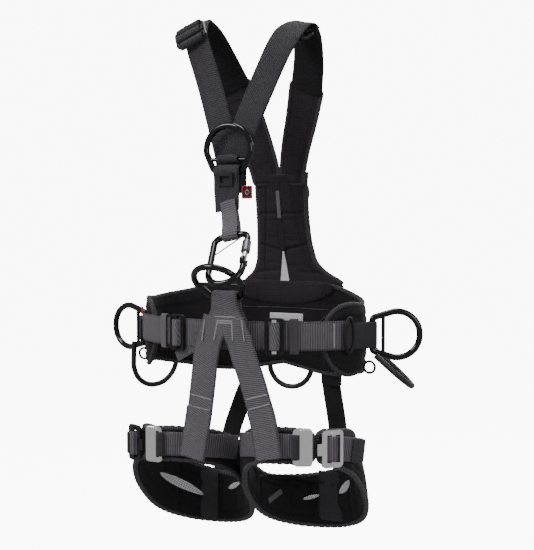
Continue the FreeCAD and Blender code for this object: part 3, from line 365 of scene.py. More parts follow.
def waist(degrees, offset, height):
    """Points and outward directions round the waist, offset from the pad's outer face, in mm."""
    degrees = np.asarray(degrees, float)
    return ellipse(0, 193, 121, degrees, offset + 0 * degrees, height + 0 * degrees)


THIGH_CENTRE = {1: 96.0, -1: -112.0}
THIGH_DROP = {1: 0.0, -1: 14.0}
THIGH_TURN = 12.0


def thigh(side, degrees, offset, height):
    """Points and outward directions round a thigh; angle from the front, growing outwards, in mm."""
    degrees = np.asarray(degrees, float)
    return ellipse(THIGH_CENTRE[side], 101, 114, side * degrees + THIGH_TURN, offset + 0 * degrees,
                   height - THIGH_DROP[side] + 0 * degrees)


def stations(table, at):
    """Value of a (position, value) list at positions, by a smooth curve through its rows."""
    x = np.array([row[0] for row in table], float)
    y = np.array([row[1] for row in table], float)
    slope = np.gradient(y, x)
    at = np.clip(at, x[0], x[-1])
    k = np.clip(np.searchsorted(x, at) - 1, 0, len(x) - 2)
    h = x[k + 1] - x[k]
    t = (at - x[k]) / h
    return ((2 * t ** 3 - 3 * t ** 2 + 1) * y[k] + (t ** 3 - 2 * t ** 2 + t) * h * slope[k]
            + (3 * t ** 2 - 2 * t ** 3) * y[k + 1] + (t ** 3 - t ** 2) * h * slope[k + 1])


def skin(name, grid, uv, body, mat, closed_rows=False, replaces=()):
    """Closed mesh over a grid of points: rows run along, columns go round; open ends get a fan cap.

    uv has one more column than the grid, and one more row if the rows close, so that no seam runs back.
    """
    rows, cols = grid.shape[:2]
    steps = rows if closed_rows else rows - 1
    i, j = np.meshgrid(np.arange(steps), np.arange(cols), indexing="ij")
    i, j = i.ravel(), j.ravel()
    i2, j2 = (i + 1) % rows, (j + 1) % cols
    faces = np.stack([i * cols + j, i * cols + j2, i2 * cols + j2, i2 * cols + j], 1)
    corners = np.stack([uv[i, j], uv[i, j + 1], uv[i + 1, j + 1], uv[i + 1, j]], 1)
    points = grid.reshape(-1, 3)
    tri_faces = np.zeros((0, 3), int)
    tri_uv = np.zeros((0, 3, 2))
    if not closed_rows:
        points = np.vstack([points, grid[0].mean(0), grid[-1].mean(0)])
        ring = np.arange(cols)
        following = (ring + 1) % cols
        start = np.stack([ring * 0 + rows * cols, following, ring], 1)
        last = (rows - 1) * cols
        end = np.stack([ring * 0 + rows * cols + 1, last + ring, last + following], 1)
        tri_faces = np.vstack([start, end])
        start_uv = np.stack([uv[0, :-1].mean(0) + 0 * uv[0, ring], uv[0, ring + 1], uv[0, ring]], 1)
        end_uv = np.stack([uv[-1, :-1].mean(0) + 0 * uv[-1, ring], uv[-1, ring], uv[-1, ring + 1]], 1)
        tri_uv = np.vstack([start_uv, end_uv])
    split = np.vstack([faces[:, [0, 1, 2]], faces[:, [0, 2, 3]], tri_faces])
    volume = np.einsum("ij,ij->i", points[split[:, 0]],
                       np.cross(points[split[:, 1]], points[split[:, 2]])).sum()
    if volume < 0:
        faces, corners = faces[:, ::-1], corners[:, ::-1]
        tri_faces, tri_uv = tri_faces[:, ::-1], tri_uv[:, ::-1]
    mesh = bpy.data.meshes.new(name)
    mesh.from_pydata(points.tolist(), [], faces.tolist() + tri_faces.tolist())
    layer = mesh.uv_layers.new(name="weave")
    flat = np.concatenate([corners.reshape(-1, 2), tri_uv.reshape(-1, 2)])
    layer.data.foreach_set("uv", flat.astype(np.float32).ravel())
    return finish(name, mesh, body, mat, replaces)


def finish(name, mesh, body, mat, replaces=()):
    """Put a finished mesh in the scene, smooth shaded, riding on its body."""
    mesh.materials.append(mat)
    mesh.shade_smooth()
    obj = bpy.data.objects.new(name, mesh)
    scene.collection.objects.link(obj)
    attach(obj, body)
    if replaces:
        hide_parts(*replaces)
    return obj


def distance_along(path):
    """Distance of each point of a line from its start."""
    return np.r_[0, np.cumsum(np.linalg.norm(np.diff(path, axis=0), axis=1))]


def strap_outline(width, thick, points=9):
    """Section of webbing: flat faces that round over at the selvedges; rows of (across, out)."""
    share = np.cos(np.linspace(0, math.pi, points))
    face = (1 - np.abs(share) ** 10) ** 0.5 * thick / 2
    top = np.stack([share * width / 2, face], 1)
    bottom = np.stack([-share * width / 2, -face], 1)[1:-1]
    return np.vstack([top, bottom])


def sweep(path, across, outline, scale=None):
    """Outline (across, out) carried along a path; out stands square to the path and to across."""
    along = tangents(path)
    side = unit(across - along * np.sum(across * along, 1, keepdims=True))
    out = np.cross(side, along)
    shape = np.broadcast_to(outline, (len(path),) + outline.shape[-2:])
    if scale is not None:
        shape = shape * np.asarray(scale)[:, None, :]
    return path[:, None] + side[:, None] * shape[..., :1] + out[:, None] * shape[..., 1:]


def webbing(name, path, across, width, thick, body, mat, slot="webbing", replaces=(), taper=None, ripple=0.0,
            ripple_step=0.06):
    """Strap of webbing along a path: the flat outline swept, with a slight waviness across its face."""
    across = np.broadcast_to(np.asarray(across, float), path.shape)
    outline = strap_outline(width * MM, thick * MM)
    scale = None if taper is None else np.stack([taper, np.ones(len(path))], 1)
    grid = sweep(path, across, outline, scale)
    run = distance_along(path)
    if ripple:
        side = unit(across - tangents(path) * np.sum(across * tangents(path), 1, keepdims=True))
        out = np.cross(side, tangents(path))
        grid = grid + (out * (np.sin(run * 2 * math.pi / ripple_step) * ripple * MM)[:, None])[:, None]
    u = np.r_[outline[:, 0], outline[:1, 0]]
    uv = np.stack(np.broadcast_arrays(u[None], run[:, None]), -1)
    return skin(name, grid, uv, body, mat, replaces=replaces)


def tube(name, path, radii, body, mat, closed=False, replaces=(), sides=16, across=(0, 0, 1),
         squeeze=1.0):
    """Round or oval tube along a path; squeeze flattens it square to the across direction."""
    along = tangents(path, closed)
    across = np.broadcast_to(np.asarray(across, float), path.shape)
    side = unit(across - along * np.sum(across * along, 1, keepdims=True))
    out = np.cross(side, along)
    turn = np.linspace(0, 2 * math.pi, sides, endpoint=False)
    radii = np.broadcast_to(np.asarray(radii, float) * MM, (len(path),))[:, None, None]
    grid = path[:, None] + radii * (side[:, None] * np.cos(turn)[None, :, None]
                                    + squeeze * out[:, None] * np.sin(turn)[None, :, None])
    run = distance_along(np.vstack([path, path[:1]]) if closed else path)
    u = np.linspace(0, 1, sides + 1) * 2 * math.pi * radii.mean()
    uv = np.stack(np.broadcast_arrays(u[None], run[:, None]), -1)
    return skin(name, grid, uv, body, mat, closed_rows=closed, replaces=replaces)


def pillow(share, power):
    """Fullness over a pad's width: 1 in the middle, falling to 0 at both edges like a soft rounded box."""
    return np.maximum(1 - np.abs(share) ** power, 0) ** 0.5


def pad(name, middle, across, out, half_width, thick, body, mat, replaces=(), columns=28, crown=2.5, bow=None,
        channels=(), rungs=(), creases=(), end_round=16.0, folds=0.0, seed=0):
    """Padded strip: a soft box section carried along a line, with sewn channels pressed into both faces.

    middle, across and out are arrays of points and directions; half_width and thick are arrays in mm. A
    channel is
    (share of the half width, depth, half breadth in share); a rung is (share of the length, depth,
                                                                        half breadth);
    a crease is (line of (across, along) in mm, depth, half breadth in mm),
    as deep as its nearest point is close.
    """
    rows = len(middle)
    run = distance_along(middle)
    total = run[-1]
    to_end = np.minimum(run, total - run) / MM
    ending = np.clip(to_end / end_round, 0, 1)
    ending = np.sqrt(np.maximum(1 - (1 - ending) ** 2, 0.0025))
    turn = np.linspace(0, 2 * math.pi, columns, endpoint=False)
    share = np.sign(np.cos(turn)) * np.abs(np.cos(turn)) ** 0.8
    face = np.sign(np.sin(turn))
    full = pillow(share, 7)
    width = (half_width * (0.55 + 0.45 * ending))[:, None] * share[None]
    swell = crown * (1 - share ** 2)[None] * ending[:, None]
    depth = np.zeros((rows, columns))
    for centre, deep, breadth in channels:
        depth = depth + deep * np.exp(-((share - centre) / breadth) ** 2)[None] * ending[:, None]
    along_share = (run / total)[:, None]
    for centre, deep, breadth in rungs:
        depth = depth + deep * np.exp(-((along_share - centre) / breadth) ** 2) * (1
                                                                                   - np.abs(share) ** 6)[None]
    for line, deep, breadth in creases:
        place = np.stack(np.broadcast_arrays(width, run[:, None] / MM), -1)
        nearest = np.full(width.shape, 1e3)
        for start, end in zip(np.array(line[:-1], float), np.array(line[1:], float)):
            step = end - start
            at = np.clip((place - start) @ step / (step @ step), 0, 1)
            nearest = np.minimum(nearest, np.linalg.norm(place - start - at[..., None] * step, axis=-1))
        depth = depth + deep * np.exp(-(nearest / breadth) ** 2)
    if folds:
        rng = np.random.default_rng(seed)
        for _ in range(9):
            where, slope, size = rng.uniform(0.03, 0.97), rng.uniform(-0.05, 0.05), rng.uniform(0.3, 1.0)
            line = along_share - where - slope * share[None]
            depth = depth + folds * size * np.exp(-(line / 0.012) ** 2) * (1 - np.abs(share) ** 4)[None]
    lift = (thick / 2 * ending)[:, None] * full[None] + np.maximum(swell - depth, -thick[:, None]
                                                                   * 0.3) * (full[None] > 0.2)
    offset = face[None] * lift
    if bow is not None:
        offset = offset - bow[:, None] * share[None] ** 2
    grid = middle[:, None] + across[:, None] * (width[..., None] * MM) + out[:, None] * (offset[..., None]
                                                                                         * MM)
    u = np.r_[share, share[:1]][None] * half_width.mean() * MM
    uv = np.stack(np.broadcast_arrays(u, run[:, None]), -1)
    obj = skin(name, grid, uv, body, mat, replaces=replaces)
    inflate(obj, (depth > 0.9) | (np.abs(share)[None] > 0.94) | (to_end[:, None] < 6.0))
    return obj


SWELL_FRAMES = 12
SWELL_CAP = 3.0


def inflate(obj, pinned):
    """Swell a pad's cover between its sewn lines: cloth under air pressure, held at the pinned points of the
    grid.

    The travel of every point is capped, then written back to the mesh, so the weave's UV map stays.
    """
    mesh = obj.data
    rest = np.empty(len(mesh.vertices) * 3)
    mesh.vertices.foreach_get("co", rest)
    rest = rest.reshape(-1, 3)
    held = np.r_[np.flatnonzero(pinned.ravel()), len(rest) - 2, len(rest) - 1]
    obj.vertex_groups.new(name="sewn").add(held.tolist(), 1.0, "REPLACE")
    swell = obj.modifiers.new("swell", "CLOTH")
    swell.point_cache.frame_end = SWELL_FRAMES
    swell.settings.quality = 4
    swell.settings.mass = 0.05
    swell.settings.use_pressure = True
    swell.settings.uniform_pressure_force = 4.0
    swell.settings.effector_weights.gravity = 0.0
    swell.settings.vertex_group_mass = "sewn"
    for number in range(1, SWELL_FRAMES + 1):
        scene.frame_set(number)
    swollen = np.empty(rest.size)
    obj.evaluated_get(bpy.context.evaluated_depsgraph_get()).data.vertices.foreach_get("co", swollen)
    move = np.nan_to_num(swollen.reshape(-1, 3) - rest)
    length = np.linalg.norm(move, axis=1, keepdims=True)
    move *= np.minimum(1.0, SWELL_CAP * MM / np.maximum(length, 1e-9))
    obj.modifiers.remove(swell)
    obj.vertex_groups.clear()
    mesh.vertices.foreach_set("co", (rest + move).ravel())
    mesh.update()
    scene.frame_set(1)


def edge_loop(middle, across, out, half_width, bow=None, end_round=16.0, inset=0.0):
    """Closed line round a padded strip's edge: up one side, round the end, down the other, in metres."""
    run = distance_along(middle)
    to_end = np.minimum(run, run[-1] - run) / MM
    ending = np.clip(to_end / end_round, 0, 1)
    ending = np.sqrt(np.maximum(1 - (1 - ending) ** 2, 0.0025))
    width = half_width * (0.55 + 0.45 * ending) - inset
    shift = out * (0 if bow is None else (-bow[:, None] * MM))
    one = middle + across * (width[:, None] * MM) + shift
    two = middle - across * (width[:, None] * MM) + shift
    first_end = np.linspace(two[0], one[0], 9)[1:-1]
    last_end = np.linspace(one[-1], two[-1], 9)[1:-1]
    return np.vstack([one, last_end, two[::-1], first_end])


def binding(name, loop, out, body, mat, wide=9.0, thick=4.5, ruche=0.0, step=0.006):
    """Tape folded over a pad's edge: an oval tube round the edge line, gathered in small scallops if
    ruched."""
    closed = np.vstack([loop, loop[:1]])
    count = int(distance_along(closed)[-1] / 0.0025)
    path = resample(closed, count + 1)[:-1]
    run = distance_along(path)
    radii = wide / 2 + ruche * np.abs(np.sin(run * math.pi / step))
    return tube(name, path, radii, body, mat, closed=True, sides=10, across=out,
                squeeze=thick / wide)


def stitches(name, path, out, lift, body, mat, length=0.003, gap=0.0016, breadth=0.0007):
    """Row of stitches: one small half-ellipsoid per stitch, laid end to end along a line and stood on the
    face."""
    total = distance_along(path)[-1]
    count = max(int(total / (length + gap)), 2)
    spots = resample(path, count)
    along = tangents(spots)
    out = unit(resample(np.broadcast_to(out, path.shape) * 1.0, count) if np.ndim(out) == 2
               else np.broadcast_to(out, spots.shape))
    side = np.cross(out, along)
    turn = np.linspace(0, 2 * math.pi, 6, endpoint=False)
    levels = np.array([[1.0, 0.0], [0.7, 0.7], [0.0, 1.0]])
    ring = np.stack([np.cos(turn), np.sin(turn)], 1)
    local = []
    for wide, high in levels[:2]:
        local.append(np.column_stack([ring * wide, np.full(6, high)]))
    local = np.vstack(local + [np.array([[0, 0, 1.0]])])
    scale = np.array([length / 2, breadth, breadth * 0.8])
    verts = (spots[:, None] + out[:, None] * lift + along[:, None] * (local[None, :, :1] * scale[0])
             + side[:, None] * (local[None, :, 1:2] * scale[1]) + out[:, None]
             * (local[None, :, 2:] * scale[2]))
    size = len(local)
    k = np.arange(6)
    n = (k + 1) % 6
    quads = np.stack([k, n, n + 6, k + 6], 1)
    tops = np.stack([k + 6, n + 6, np.full(6, 12)], 1)
    shift = (np.arange(count) * size)[:, None, None]
    faces = (quads[None] + shift).reshape(-1, 4).tolist() + (tops[None] + shift).reshape(-1, 3).tolist()
    faces += (k[::-1][None] + shift[:, 0]).tolist()
    mesh = bpy.data.meshes.new(name)
    mesh.from_pydata(verts.reshape(-1, 3).tolist(), [], faces)
    return finish(name, mesh, body, mat)


def tack(name, centre, along, out, length, width, body, mat=None, lift=0.0):
    """Bar tack: a low rounded bar of zigzag thread, length along the given direction, in mm."""
    along, out = unit(along), unit(out)
    centre = np.asarray(centre, float) * MM + out * lift * MM
    path = centre + along * (np.linspace(-0.5, 0.5, 13)[:, None] * length * MM)
    side = np.cross(out, along)
    outline = strap_outline(width * MM, 1.0 * MM, 7)
    grid = path[:, None] + side[None, None] * outline[None, :, :1] + out[None, None] * outline[None, :, 1:]
    run = distance_along(path)
    uv = np.stack(np.broadcast_arrays(np.r_[outline[:, 0], outline[:1, 0]][None], run[:, None]), -1)
    return skin(name, grid, uv, body, mat or tack_thread)


ROOT = "harness"
UP = np.array([0.0, 0.0, 1.0])
ACROSS = np.array([1.0, 0.0, 0.0])

# ------------------------------------------------------------------ waist belt
PAD_TOP = [(44, 36), (50, 46), (90, 55), (120, 63), (145, 75), (180, 76.5)]
PAD_BOTTOM = [(44, -28), (50, -42), (90, -55), (120, -66), (150, -76), (170, -68), (180, -62)]
PAD_ENDS = (56.0, 313.0)


def fold(angle, end):
    """Table position for an angle from the front, stretched so that each end keeps its rounded corner."""
    around = np.minimum(angle % 360, 360 - angle % 360)
    return 44 + (around - end) * (180 - 44) / (180 - end)


angle = np.linspace(PAD_ENDS[0], PAD_ENDS[1], 220)
ends = np.where(angle < 180, PAD_ENDS[0], 360 - PAD_ENDS[1])
top = stations(PAD_TOP, fold(angle, ends))
bottom = stations(PAD_BOTTOM, fold(angle, ends))
pad_middle, pad_out = waist(angle, -6.5, (top + bottom) / 2)
pad_across = np.broadcast_to(UP, pad_middle.shape)
pad_half = (top - bottom) / 2 - 3.0
pad("waist_pad_cover", pad_middle, pad_across, pad_out, pad_half, np.full(len(angle), 11.0), ROOT, pad_black,
    replaces=["waist_pad"], columns=72, crown=2.0, end_round=22.0,
    channels=[(0.62, 2.2, 0.035), (-0.62, 2.2, 0.035)], rungs=[(0.36, 1.8, 0.004), (0.64, 1.8, 0.004)],
    folds=1.4, seed=3)
loop = edge_loop(pad_middle, pad_across, pad_out, pad_half, end_round=22.0)
binding("waist_pad_binding", loop, UP, ROOT, edge_tape, wide=7.5, thick=7.5, ruche=0.5)

BELT_RISE = 8.0


def belt_ribbon(name, start, end, offset, rise, width, thick, mat, **more):
    """Webbing lying round the waist between two angles."""
    path, _ = waist(np.linspace(start, end, 90), offset, rise)
    return webbing(name, path, UP, width, thick, ROOT, mat, **more)


belt_ribbon("belt_webbing_wearer_right", -76, -22, 2.6, BELT_RISE, 45, 2.6, belt_grey,
            replaces=["belt_webbing_right"], ripple=0.3)
belt_ribbon("belt_webbing_middle", -21, 29, 2.6, BELT_RISE, 45, 2.6, belt_grey,
            replaces=["belt_webbing_front"],
            ripple=0.3)
belt_ribbon("belt_webbing_wearer_left", 29.5, 76, 2.6, BELT_RISE, 45, 2.6, belt_grey,
            replaces=["belt_webbing_left"], ripple=0.3)


def keeper_band(name, angle, body, replaces, mat):
    """Flat band round the belt webbing: a rounded oblong path swept with a thin strip."""
    centre, out = waist(np.array([angle]), 2.7, BELT_RISE)
    along = np.cross(UP, out[0])
    turn = np.linspace(0, 2 * math.pi, 72, endpoint=False)
    high = np.sign(np.cos(turn)) * np.abs(np.cos(turn)) ** 0.35 * 26.6
    deep = np.sign(np.sin(turn)) * np.abs(np.sin(turn)) ** 0.35 * 3.6
    path = centre + UP * (high[:, None] * MM) + out * (deep[:, None] * MM)
    outline = strap_outline(14 * MM, 1.3 * MM, 7)
    forward = tangents(path, closed=True)
    side = np.broadcast_to(along, path.shape)
    face = np.cross(side, forward)
    grid = path[:, None] + side[:, None] * outline[None, :, :1] + face[:, None] * outline[None, :, 1:]
    run = distance_along(np.vstack([path, path[:1]]))
    uv = np.stack(np.broadcast_arrays(np.r_[outline[:, 0], outline[:1, 0]][None], run[:, None]), -1)
    return skin(name, grid, uv, body, mat, closed_rows=True, replaces=replaces)


keeper_band("belt_keeper_elastic_wearer_right", -31.5, "belt_keeper_right", ["belt_keeper_right"],
            keeper_elastic)
keeper_band("belt_keeper_elastic_wearer_left", 38.5, "belt_keeper_left", ["belt_keeper_left"], keeper_dark)

# ------------------------------------------------------------------ straps on the side rings
for word, side, offset, drop in (("left", 1, 13.5, 2.0), ("right", -1, 20.0, 9.0)):
    rise = BELT_RISE - drop
    bar, bar_out = waist(np.array([side * 93.0]), offset, rise)
    bar, bar_out = bar[0] / MM, bar_out[0]
    lap, _ = waist(side * np.array([66.0, 71.0, 76.0]), 6.6, rise)
    forward = np.cross(UP, bar_out) * side
    guide = np.vstack([lap / MM, bar - forward * 9 + bar_out * 4.0, bar + bar_out * 6.9, bar + forward * 6.9,
                       bar - bar_out * 6.9, bar - forward * 12 - bar_out * 4.5])
    webbing(f"side_ring_loop_wearer_{word}", curve(guide, 90), UP, 41, 2.2, ROOT, shoulder_grey,
            replaces=[f"side_ring_strap_{word}"])

# ------------------------------------------------------------------ chest straps
chest = {
    "left": [(3, -69.5, 226), (5, -69.5, 275), (20, -69.5, 322), (38, -63, 368), (56, -55, 415),
             (73, -46, 455),
             (85, -30, 481), (91, -8, 494), (92, 14, 490)],
    "right": [(-7, -66, 226), (-9, -66, 275), (-21, -66, 322), (-38, -60, 372), (-57, -55, 422),
              (-75, -47, 464),
              (-90, -30, 492), (-98, -8, 505), (-99, 16, 499)],
}
for word, side in (("left", 1), ("right", -1)):
    path = curve(chest[word], 160)
    height = path[:, 2] / MM
    rise = np.clip((height - 330) / 330, 0, 1)[:, None]
    over = np.clip((height - 470) / 25, 0, 1)[:, None]
    face = np.array([[side * 0.5, 0, 0.8]]) * rise + np.array([[0, -1.0, 0]])
    face = face * (1 - over) + np.array([[side * 0.1, -0.3, 1.0]]) * over
    webbing(f"shoulder_webbing_{word}", path, np.cross(tangents(path), face), 45, 2.6, ROOT, shoulder_grey,
            replaces=[f"shoulder_strap_{word}"], ripple=0.5, ripple_step=0.11)

sternal = [(0.5, -81, 238), (0.3, -77, 250), (0, -75.2, 259), (0, -78, 267), (0, -83, 269), (0, -88.2, 266),
           (0, -90, 258), (0.3, -89, 247), (1, -90, 232), (3, -92, 214), (5, -95, 198)]
path = curve(sternal, 120)
webbing("sternal_webbing", path, ACROSS, 45, 2.6, ROOT, shoulder_grey, replaces=["sternal_strap"],
        taper=np.interp(np.linspace(0, 1, 120), [0, 0.7, 1], [1, 1, 0.93]))
turn = np.linspace(-2.3, 2.3, 60)
slot_roll = np.stack([0 * turn, -82 - 5.2 * np.cos(turn), 279.5 + 5.2 * np.sin(turn)], 1) * MM
webbing("sternal_slot_roll", slot_roll, ACROSS, 37, 2.0, "sternal_ring", shoulder_grey)
narrow = [(6, -88, 214), (9, -92, 202), (17, -101, 184), (25, -112, 169), (28, -118, 163), (29, -124, 153.6),
          (29, -131, 158), (27, -129, 167), (20, -115, 181), (12, -103, 196), (6, -97, 214)]
path = curve(narrow, 140)
webbing("connector_loop_webbing", path, ACROSS + np.array([0, 0, 0.22]), 27, 2.2, ROOT, belt_grey)
flat_tab = np.linspace(0, 1, 12)[:, None] * np.array([[0, 0, 0.019]]) + np.array([[0.0345, -0.0845, 0.2175]])
webbing("marker_tab_cloth", flat_tab, ACROSS, 15, 1.2, ROOT, tab_cloth, replaces=["marker_tab"],
        slot="red_tab")

# ------------------------------------------------------------------ belt ring strap and risers
hub = [(24, -128.5, 30), (24, -128, 52), (24, -127.3, 66), (24, -130, 74), (24, -134.5, 76), (24, -139.5, 73),
       (24, -141, 66), (24, -139.2, 56), (24, -136.5, 48), (24, -135, 40), (24, -134.6, 26)]
path = curve(hub, 110)
flare = np.interp(path[:, 2] / MM, [26, 34, 48, 60, 80], [1.5, 1.5, 1.12, 1.0, 1.0])
webbing("belt_ring_webbing", path, ACROSS, 45, 2.4, ROOT, riser_grey, replaces=["ventral_strap"], taper=flare)
risers = {
    "left": [(35, -135, 33), (38, -134.5, 20), (46, -132, 0), (53, -130, -25), (64, -125, -60),
             (74, -122.5, -95),
             (83, -122.5, -125), (92, -122.5, -178)],
    "right": [(7, -135, 33), (2, -134.5, 20), (-7, -132, 0), (-14, -130, -25), (-20, -126, -60),
              (-26, -123.5, -95), (-32, -122.5, -130), (-43, -122.5, -188)],
}
FRONT = np.array([0.0, -1.0, 0.0])
for word, side in (("left", 1), ("right", -1)):
    path = curve(risers[word], 150)
    across = np.cross(tangents(path), FRONT)
    webbing(f"front_riser_webbing_{word}", path, across, 45, 2.8, ROOT, riser_grey,
            replaces=[f"front_riser_{word}"], ripple=0.3, ripple_step=0.09)
    turned = curve(risers[word], 150)[96:] + FRONT * 2.4 * MM
    webbing(f"front_riser_sewn_end_{word}", turned, np.cross(tangents(turned), FRONT), 46, 2.4, ROOT,
            riser_grey)
for k, (x, z, length) in enumerate(((23, 37, 36), (23, 31, 26), (24, 27.5, 26))):
    tack(f"belt_ring_tack_{k}", (x, -136.2, z), ACROSS, FRONT, length, 2.6, ROOT)

# ------------------------------------------------------------------ back panel and shoulder pads
PANEL = [(68, 12, 99, 114, 14), (77.5, 11, 93, 115, 13), (90, 8, 74, 116, 9), (108, 3, 59, 117, 5),
         (132, 0, 53, 117, 3),
         (174, -1, 49, 112, 2), (217, -0.5, 48.5, 105, 2), (246, 0, 49, 100, 2), (262, 0, 52, 96, 3)]
heights = np.linspace(68, 262, 126)
columns = [stations([(row[0], row[k]) for row in PANEL], heights) for k in (1, 2, 3, 4)]
panel_middle = np.stack([columns[0], columns[2], heights], 1) * MM
panel_across = np.broadcast_to(ACROSS, panel_middle.shape)
panel_out = np.cross(tangents(panel_middle), ACROSS) * -1
pad("back_panel_cover", panel_middle, panel_across, panel_out, columns[1] - 3, np.full(126, 9.0), ROOT,
    pad_dotted,
    replaces=["back_panel"], columns=128, crown=3.0, bow=columns[3], end_round=4.0, folds=1.4, seed=8,
    creases=[([(-60, 129), (50, 129)], 3.2, 2.4), ([(-63, 81), (-8, 66), (8, 66), (66, 82)], 3.4, 2.6),
             ([(-2, 196), (-2, 122), (1, 66)], 3.0, 2.0),
             ([(-24, 196), (-27, 129), (-34, 70), (-46, 0)], 2.2, 2.0),
             ([(22, 196), (26, 129), (36, 70), (52, 0)], 2.2, 2.0), ([(-80, 24), (-14, 30)], 3.0, 3.0),
             ([(28, 28), (100, 22)], 3.0, 3.0), ([(1, 66), (-12, 0)], 2.4, 2.2),
             ([(1, 66), (20, 0)], 2.4, 2.2)])
for word, sign in (("left", 1), ("right", -1)):
    edge = (panel_middle[5:] + ACROSS * (sign * (columns[1][5:] - 3.5) * MM)[:, None] - panel_out[5:]
            * (columns[3][5:] * MM)[:, None])
    run = distance_along(edge)
    tube(f"back_panel_binding_{word}", edge, 3.9 + 0.5 * np.abs(np.sin(run * math.pi / 0.0075)), ROOT,
         edge_tape,
         sides=12, across=panel_out[0], squeeze=1.15)
root_angle = np.linspace(146, 212, 110)
root_top = stations(PAD_TOP, fold(root_angle, np.where(root_angle < 180, PAD_ENDS[0], 360
                                                       - PAD_ENDS[1]))) + 3.0
root_low = 40 + 22 * (np.abs(root_angle - 179) / 33) ** 2
root_middle, root_out = waist(root_angle, -13.4, (root_top + root_low) / 2)
pad("back_panel_root", root_middle, np.broadcast_to(UP, root_middle.shape), root_out,
    (root_top - root_low) / 2,
    np.full(110, 5.0), ROOT, pad_dotted, columns=64, crown=1.5, end_round=10.0, folds=1.2, seed=31,
    creases=[([(-30, 60), (30, 60)], 1.5, 2.0), ([(-30, 150), (30, 144)], 1.5, 2.0)])

SHOULDER_BASE = [(23, 96.5, 246), (27, 93, 270), (36, 86, 306), (50, 78, 350), (66, 64.5, 401)]
SHOULDER_TOP = [(64.5, 66, 393), (78, 46, 438), (87, 22, 474), (92, -3, 490.5)]


def shoulder_line(points, side, count):
    """Guide line of a shoulder pad, mirrored and lifted for the wearer's right, where the shoulder sits
    higher."""
    p = np.array(points, float)
    share = np.clip((p[:, 2:] - 268) / 222, 0, 1)
    shift = np.array([[0, 0, 0]] if side > 0 else [[-8, 0, 12]])
    return curve(p * [side, 1, 1] + shift * share, count)


for word, side in (("left", 1), ("right", -1)):
    for piece, points, widths, thick, mat, node in (
            ("pad", SHOULDER_BASE, (48, 65), 9.0, pad_dotted, "shoulder_pad"),
            ("cover", SHOULDER_TOP, (67, 56), 12.5, pad_black, "shoulder_cover")):
        line = shoulder_line(points, side, 90)
        share = np.linspace(0, 1, 90)
        across = np.stack([np.ones(90), np.full(90, -0.12 * side), -0.38 * side * (1 - 0.5 * share)], 1)
        along = tangents(line)
        across = unit(across - along * np.sum(across * along, 1, keepdims=True))
        out = np.cross(along, across)
        half = (widths[0] + (widths[1] - widths[0]) * share) / 2 - 2.5
        pad(f"{node}_cloth_{word}", line, across, out, half, np.full(90, thick - 1.0), ROOT, mat,
            replaces=[f"{node}_{word}"], columns=64, crown=2.0, end_round=2.5,
            channels=[(0.72, 1.8, 0.05), (-0.72, 1.8, 0.05)] if piece == "pad" else [], folds=1.0,
            seed=11 + side)
        if piece == "pad":
            loop = edge_loop(line, across, out, half, end_round=3.0)
            binding(f"{node}_binding_{word}", loop, out[45], ROOT, edge_tape, wide=5.5, thick=8.0, ruche=0.3)
        else:
            hem = line[2] + across[2] * (np.linspace(-1, 1, 60)[:, None] * half[2] * MM)
            tube(f"shoulder_cover_hem_{word}", hem, 1.9 + 0 * hem[:, 0], ROOT, black_tape,
                 sides=12,
                 across=out[2], squeeze=2.0)

dorsal = [(-8, 112, 219), (-8, 112, 236), (-8, 110.2, 256), (-8, 113, 266.5), (-8, 117, 268.6),
          (-8, 122, 266),
          (-8, 123.6, 258), (-8, 120, 240), (-8, 117.5, 219)]
webbing("dorsal_ring_webbing", curve(dorsal, 90), ACROSS, 37, 2.2, ROOT, shoulder_grey,
        replaces=["dorsal_strap"])

# ------------------------------------------------------------------ leg loops
LEG_TOP = [(0, -130), (45, -137), (90, -150), (117, -168), (150, -222), (180, -242), (210, -246),
           (240, -236), (270, -196), (300, -152), (330, -134), (360, -130)]
LEG_BOTTOM = [(0, -185), (45, -195), (63, -212), (90, -256), (117, -300), (150, -328), (180, -336),
              (210, -330), (240, -308), (270, -264), (300, -212), (330, -190), (360, -185)]
LEG_FLARE = 25.0


def leg_band_height(angle):
    """Middle height of the leg webbing at an angle from the front of the thigh."""
    return -157.0 - 12.0 * (angle / 60.0) ** 2


for word, side in (("left", 1), ("right", -1)):
    angle = np.linspace(27, 383, 260)
    turned = angle % 360
    low, high = stations(LEG_BOTTOM, turned), stations(LEG_TOP, turned)
    lean = np.where(turned < 180, LEG_FLARE * np.sin(np.radians(turned)) ** 2, 0.0)
    foot, out = thigh(side, angle, -5.5, low)
    head, _ = thigh(side, angle, -5.5 - lean, high)
    middle = (foot + head) / 2
    across = unit(head - foot)
    half = np.linalg.norm(head - foot, axis=1) / 2 / MM - 3.0
    along = tangents(middle)
    face = unit(np.cross(along, across))
    face = face * np.sign(np.sum(face * out, 1, keepdims=True))
    pad(f"leg_pad_cover_{word}", middle, across, face, half, np.full(len(angle), 10.0), ROOT, pad_black,
        replaces=[f"leg_pad_{word}"], columns=72, crown=2.5, end_round=14.0,
        channels=[(0.6, 2.0, 0.05), (-0.6, 2.0, 0.05)],
        rungs=[(0.32, 2.4, 0.006), (0.45, 2.4, 0.006), (0.62, 2.0, 0.006), (0.78, 2.0, 0.006)],
        folds=2.6, seed=20 + side)
    loop = edge_loop(middle, across, face, half, end_round=14.0)
    binding(f"leg_pad_binding_{word}", loop, UP, ROOT, edge_tape_light, wide=7.0, thick=7.0, ruche=1.2,
            step=0.011)
    for stretch, start, end in (("inner", -62.0, 10.0), ("outer", 34.5, 70.0)):
        angles = np.linspace(start, end, 60)
        path, _ = thigh(side, angles, 2.6, leg_band_height(angles))
        webbing(f"leg_webbing_{stretch}_{word}_strap", path, UP, 38, 2.6, ROOT, belt_grey,
                replaces=[f"leg_webbing_{stretch}_{word}"], ripple=0.3)

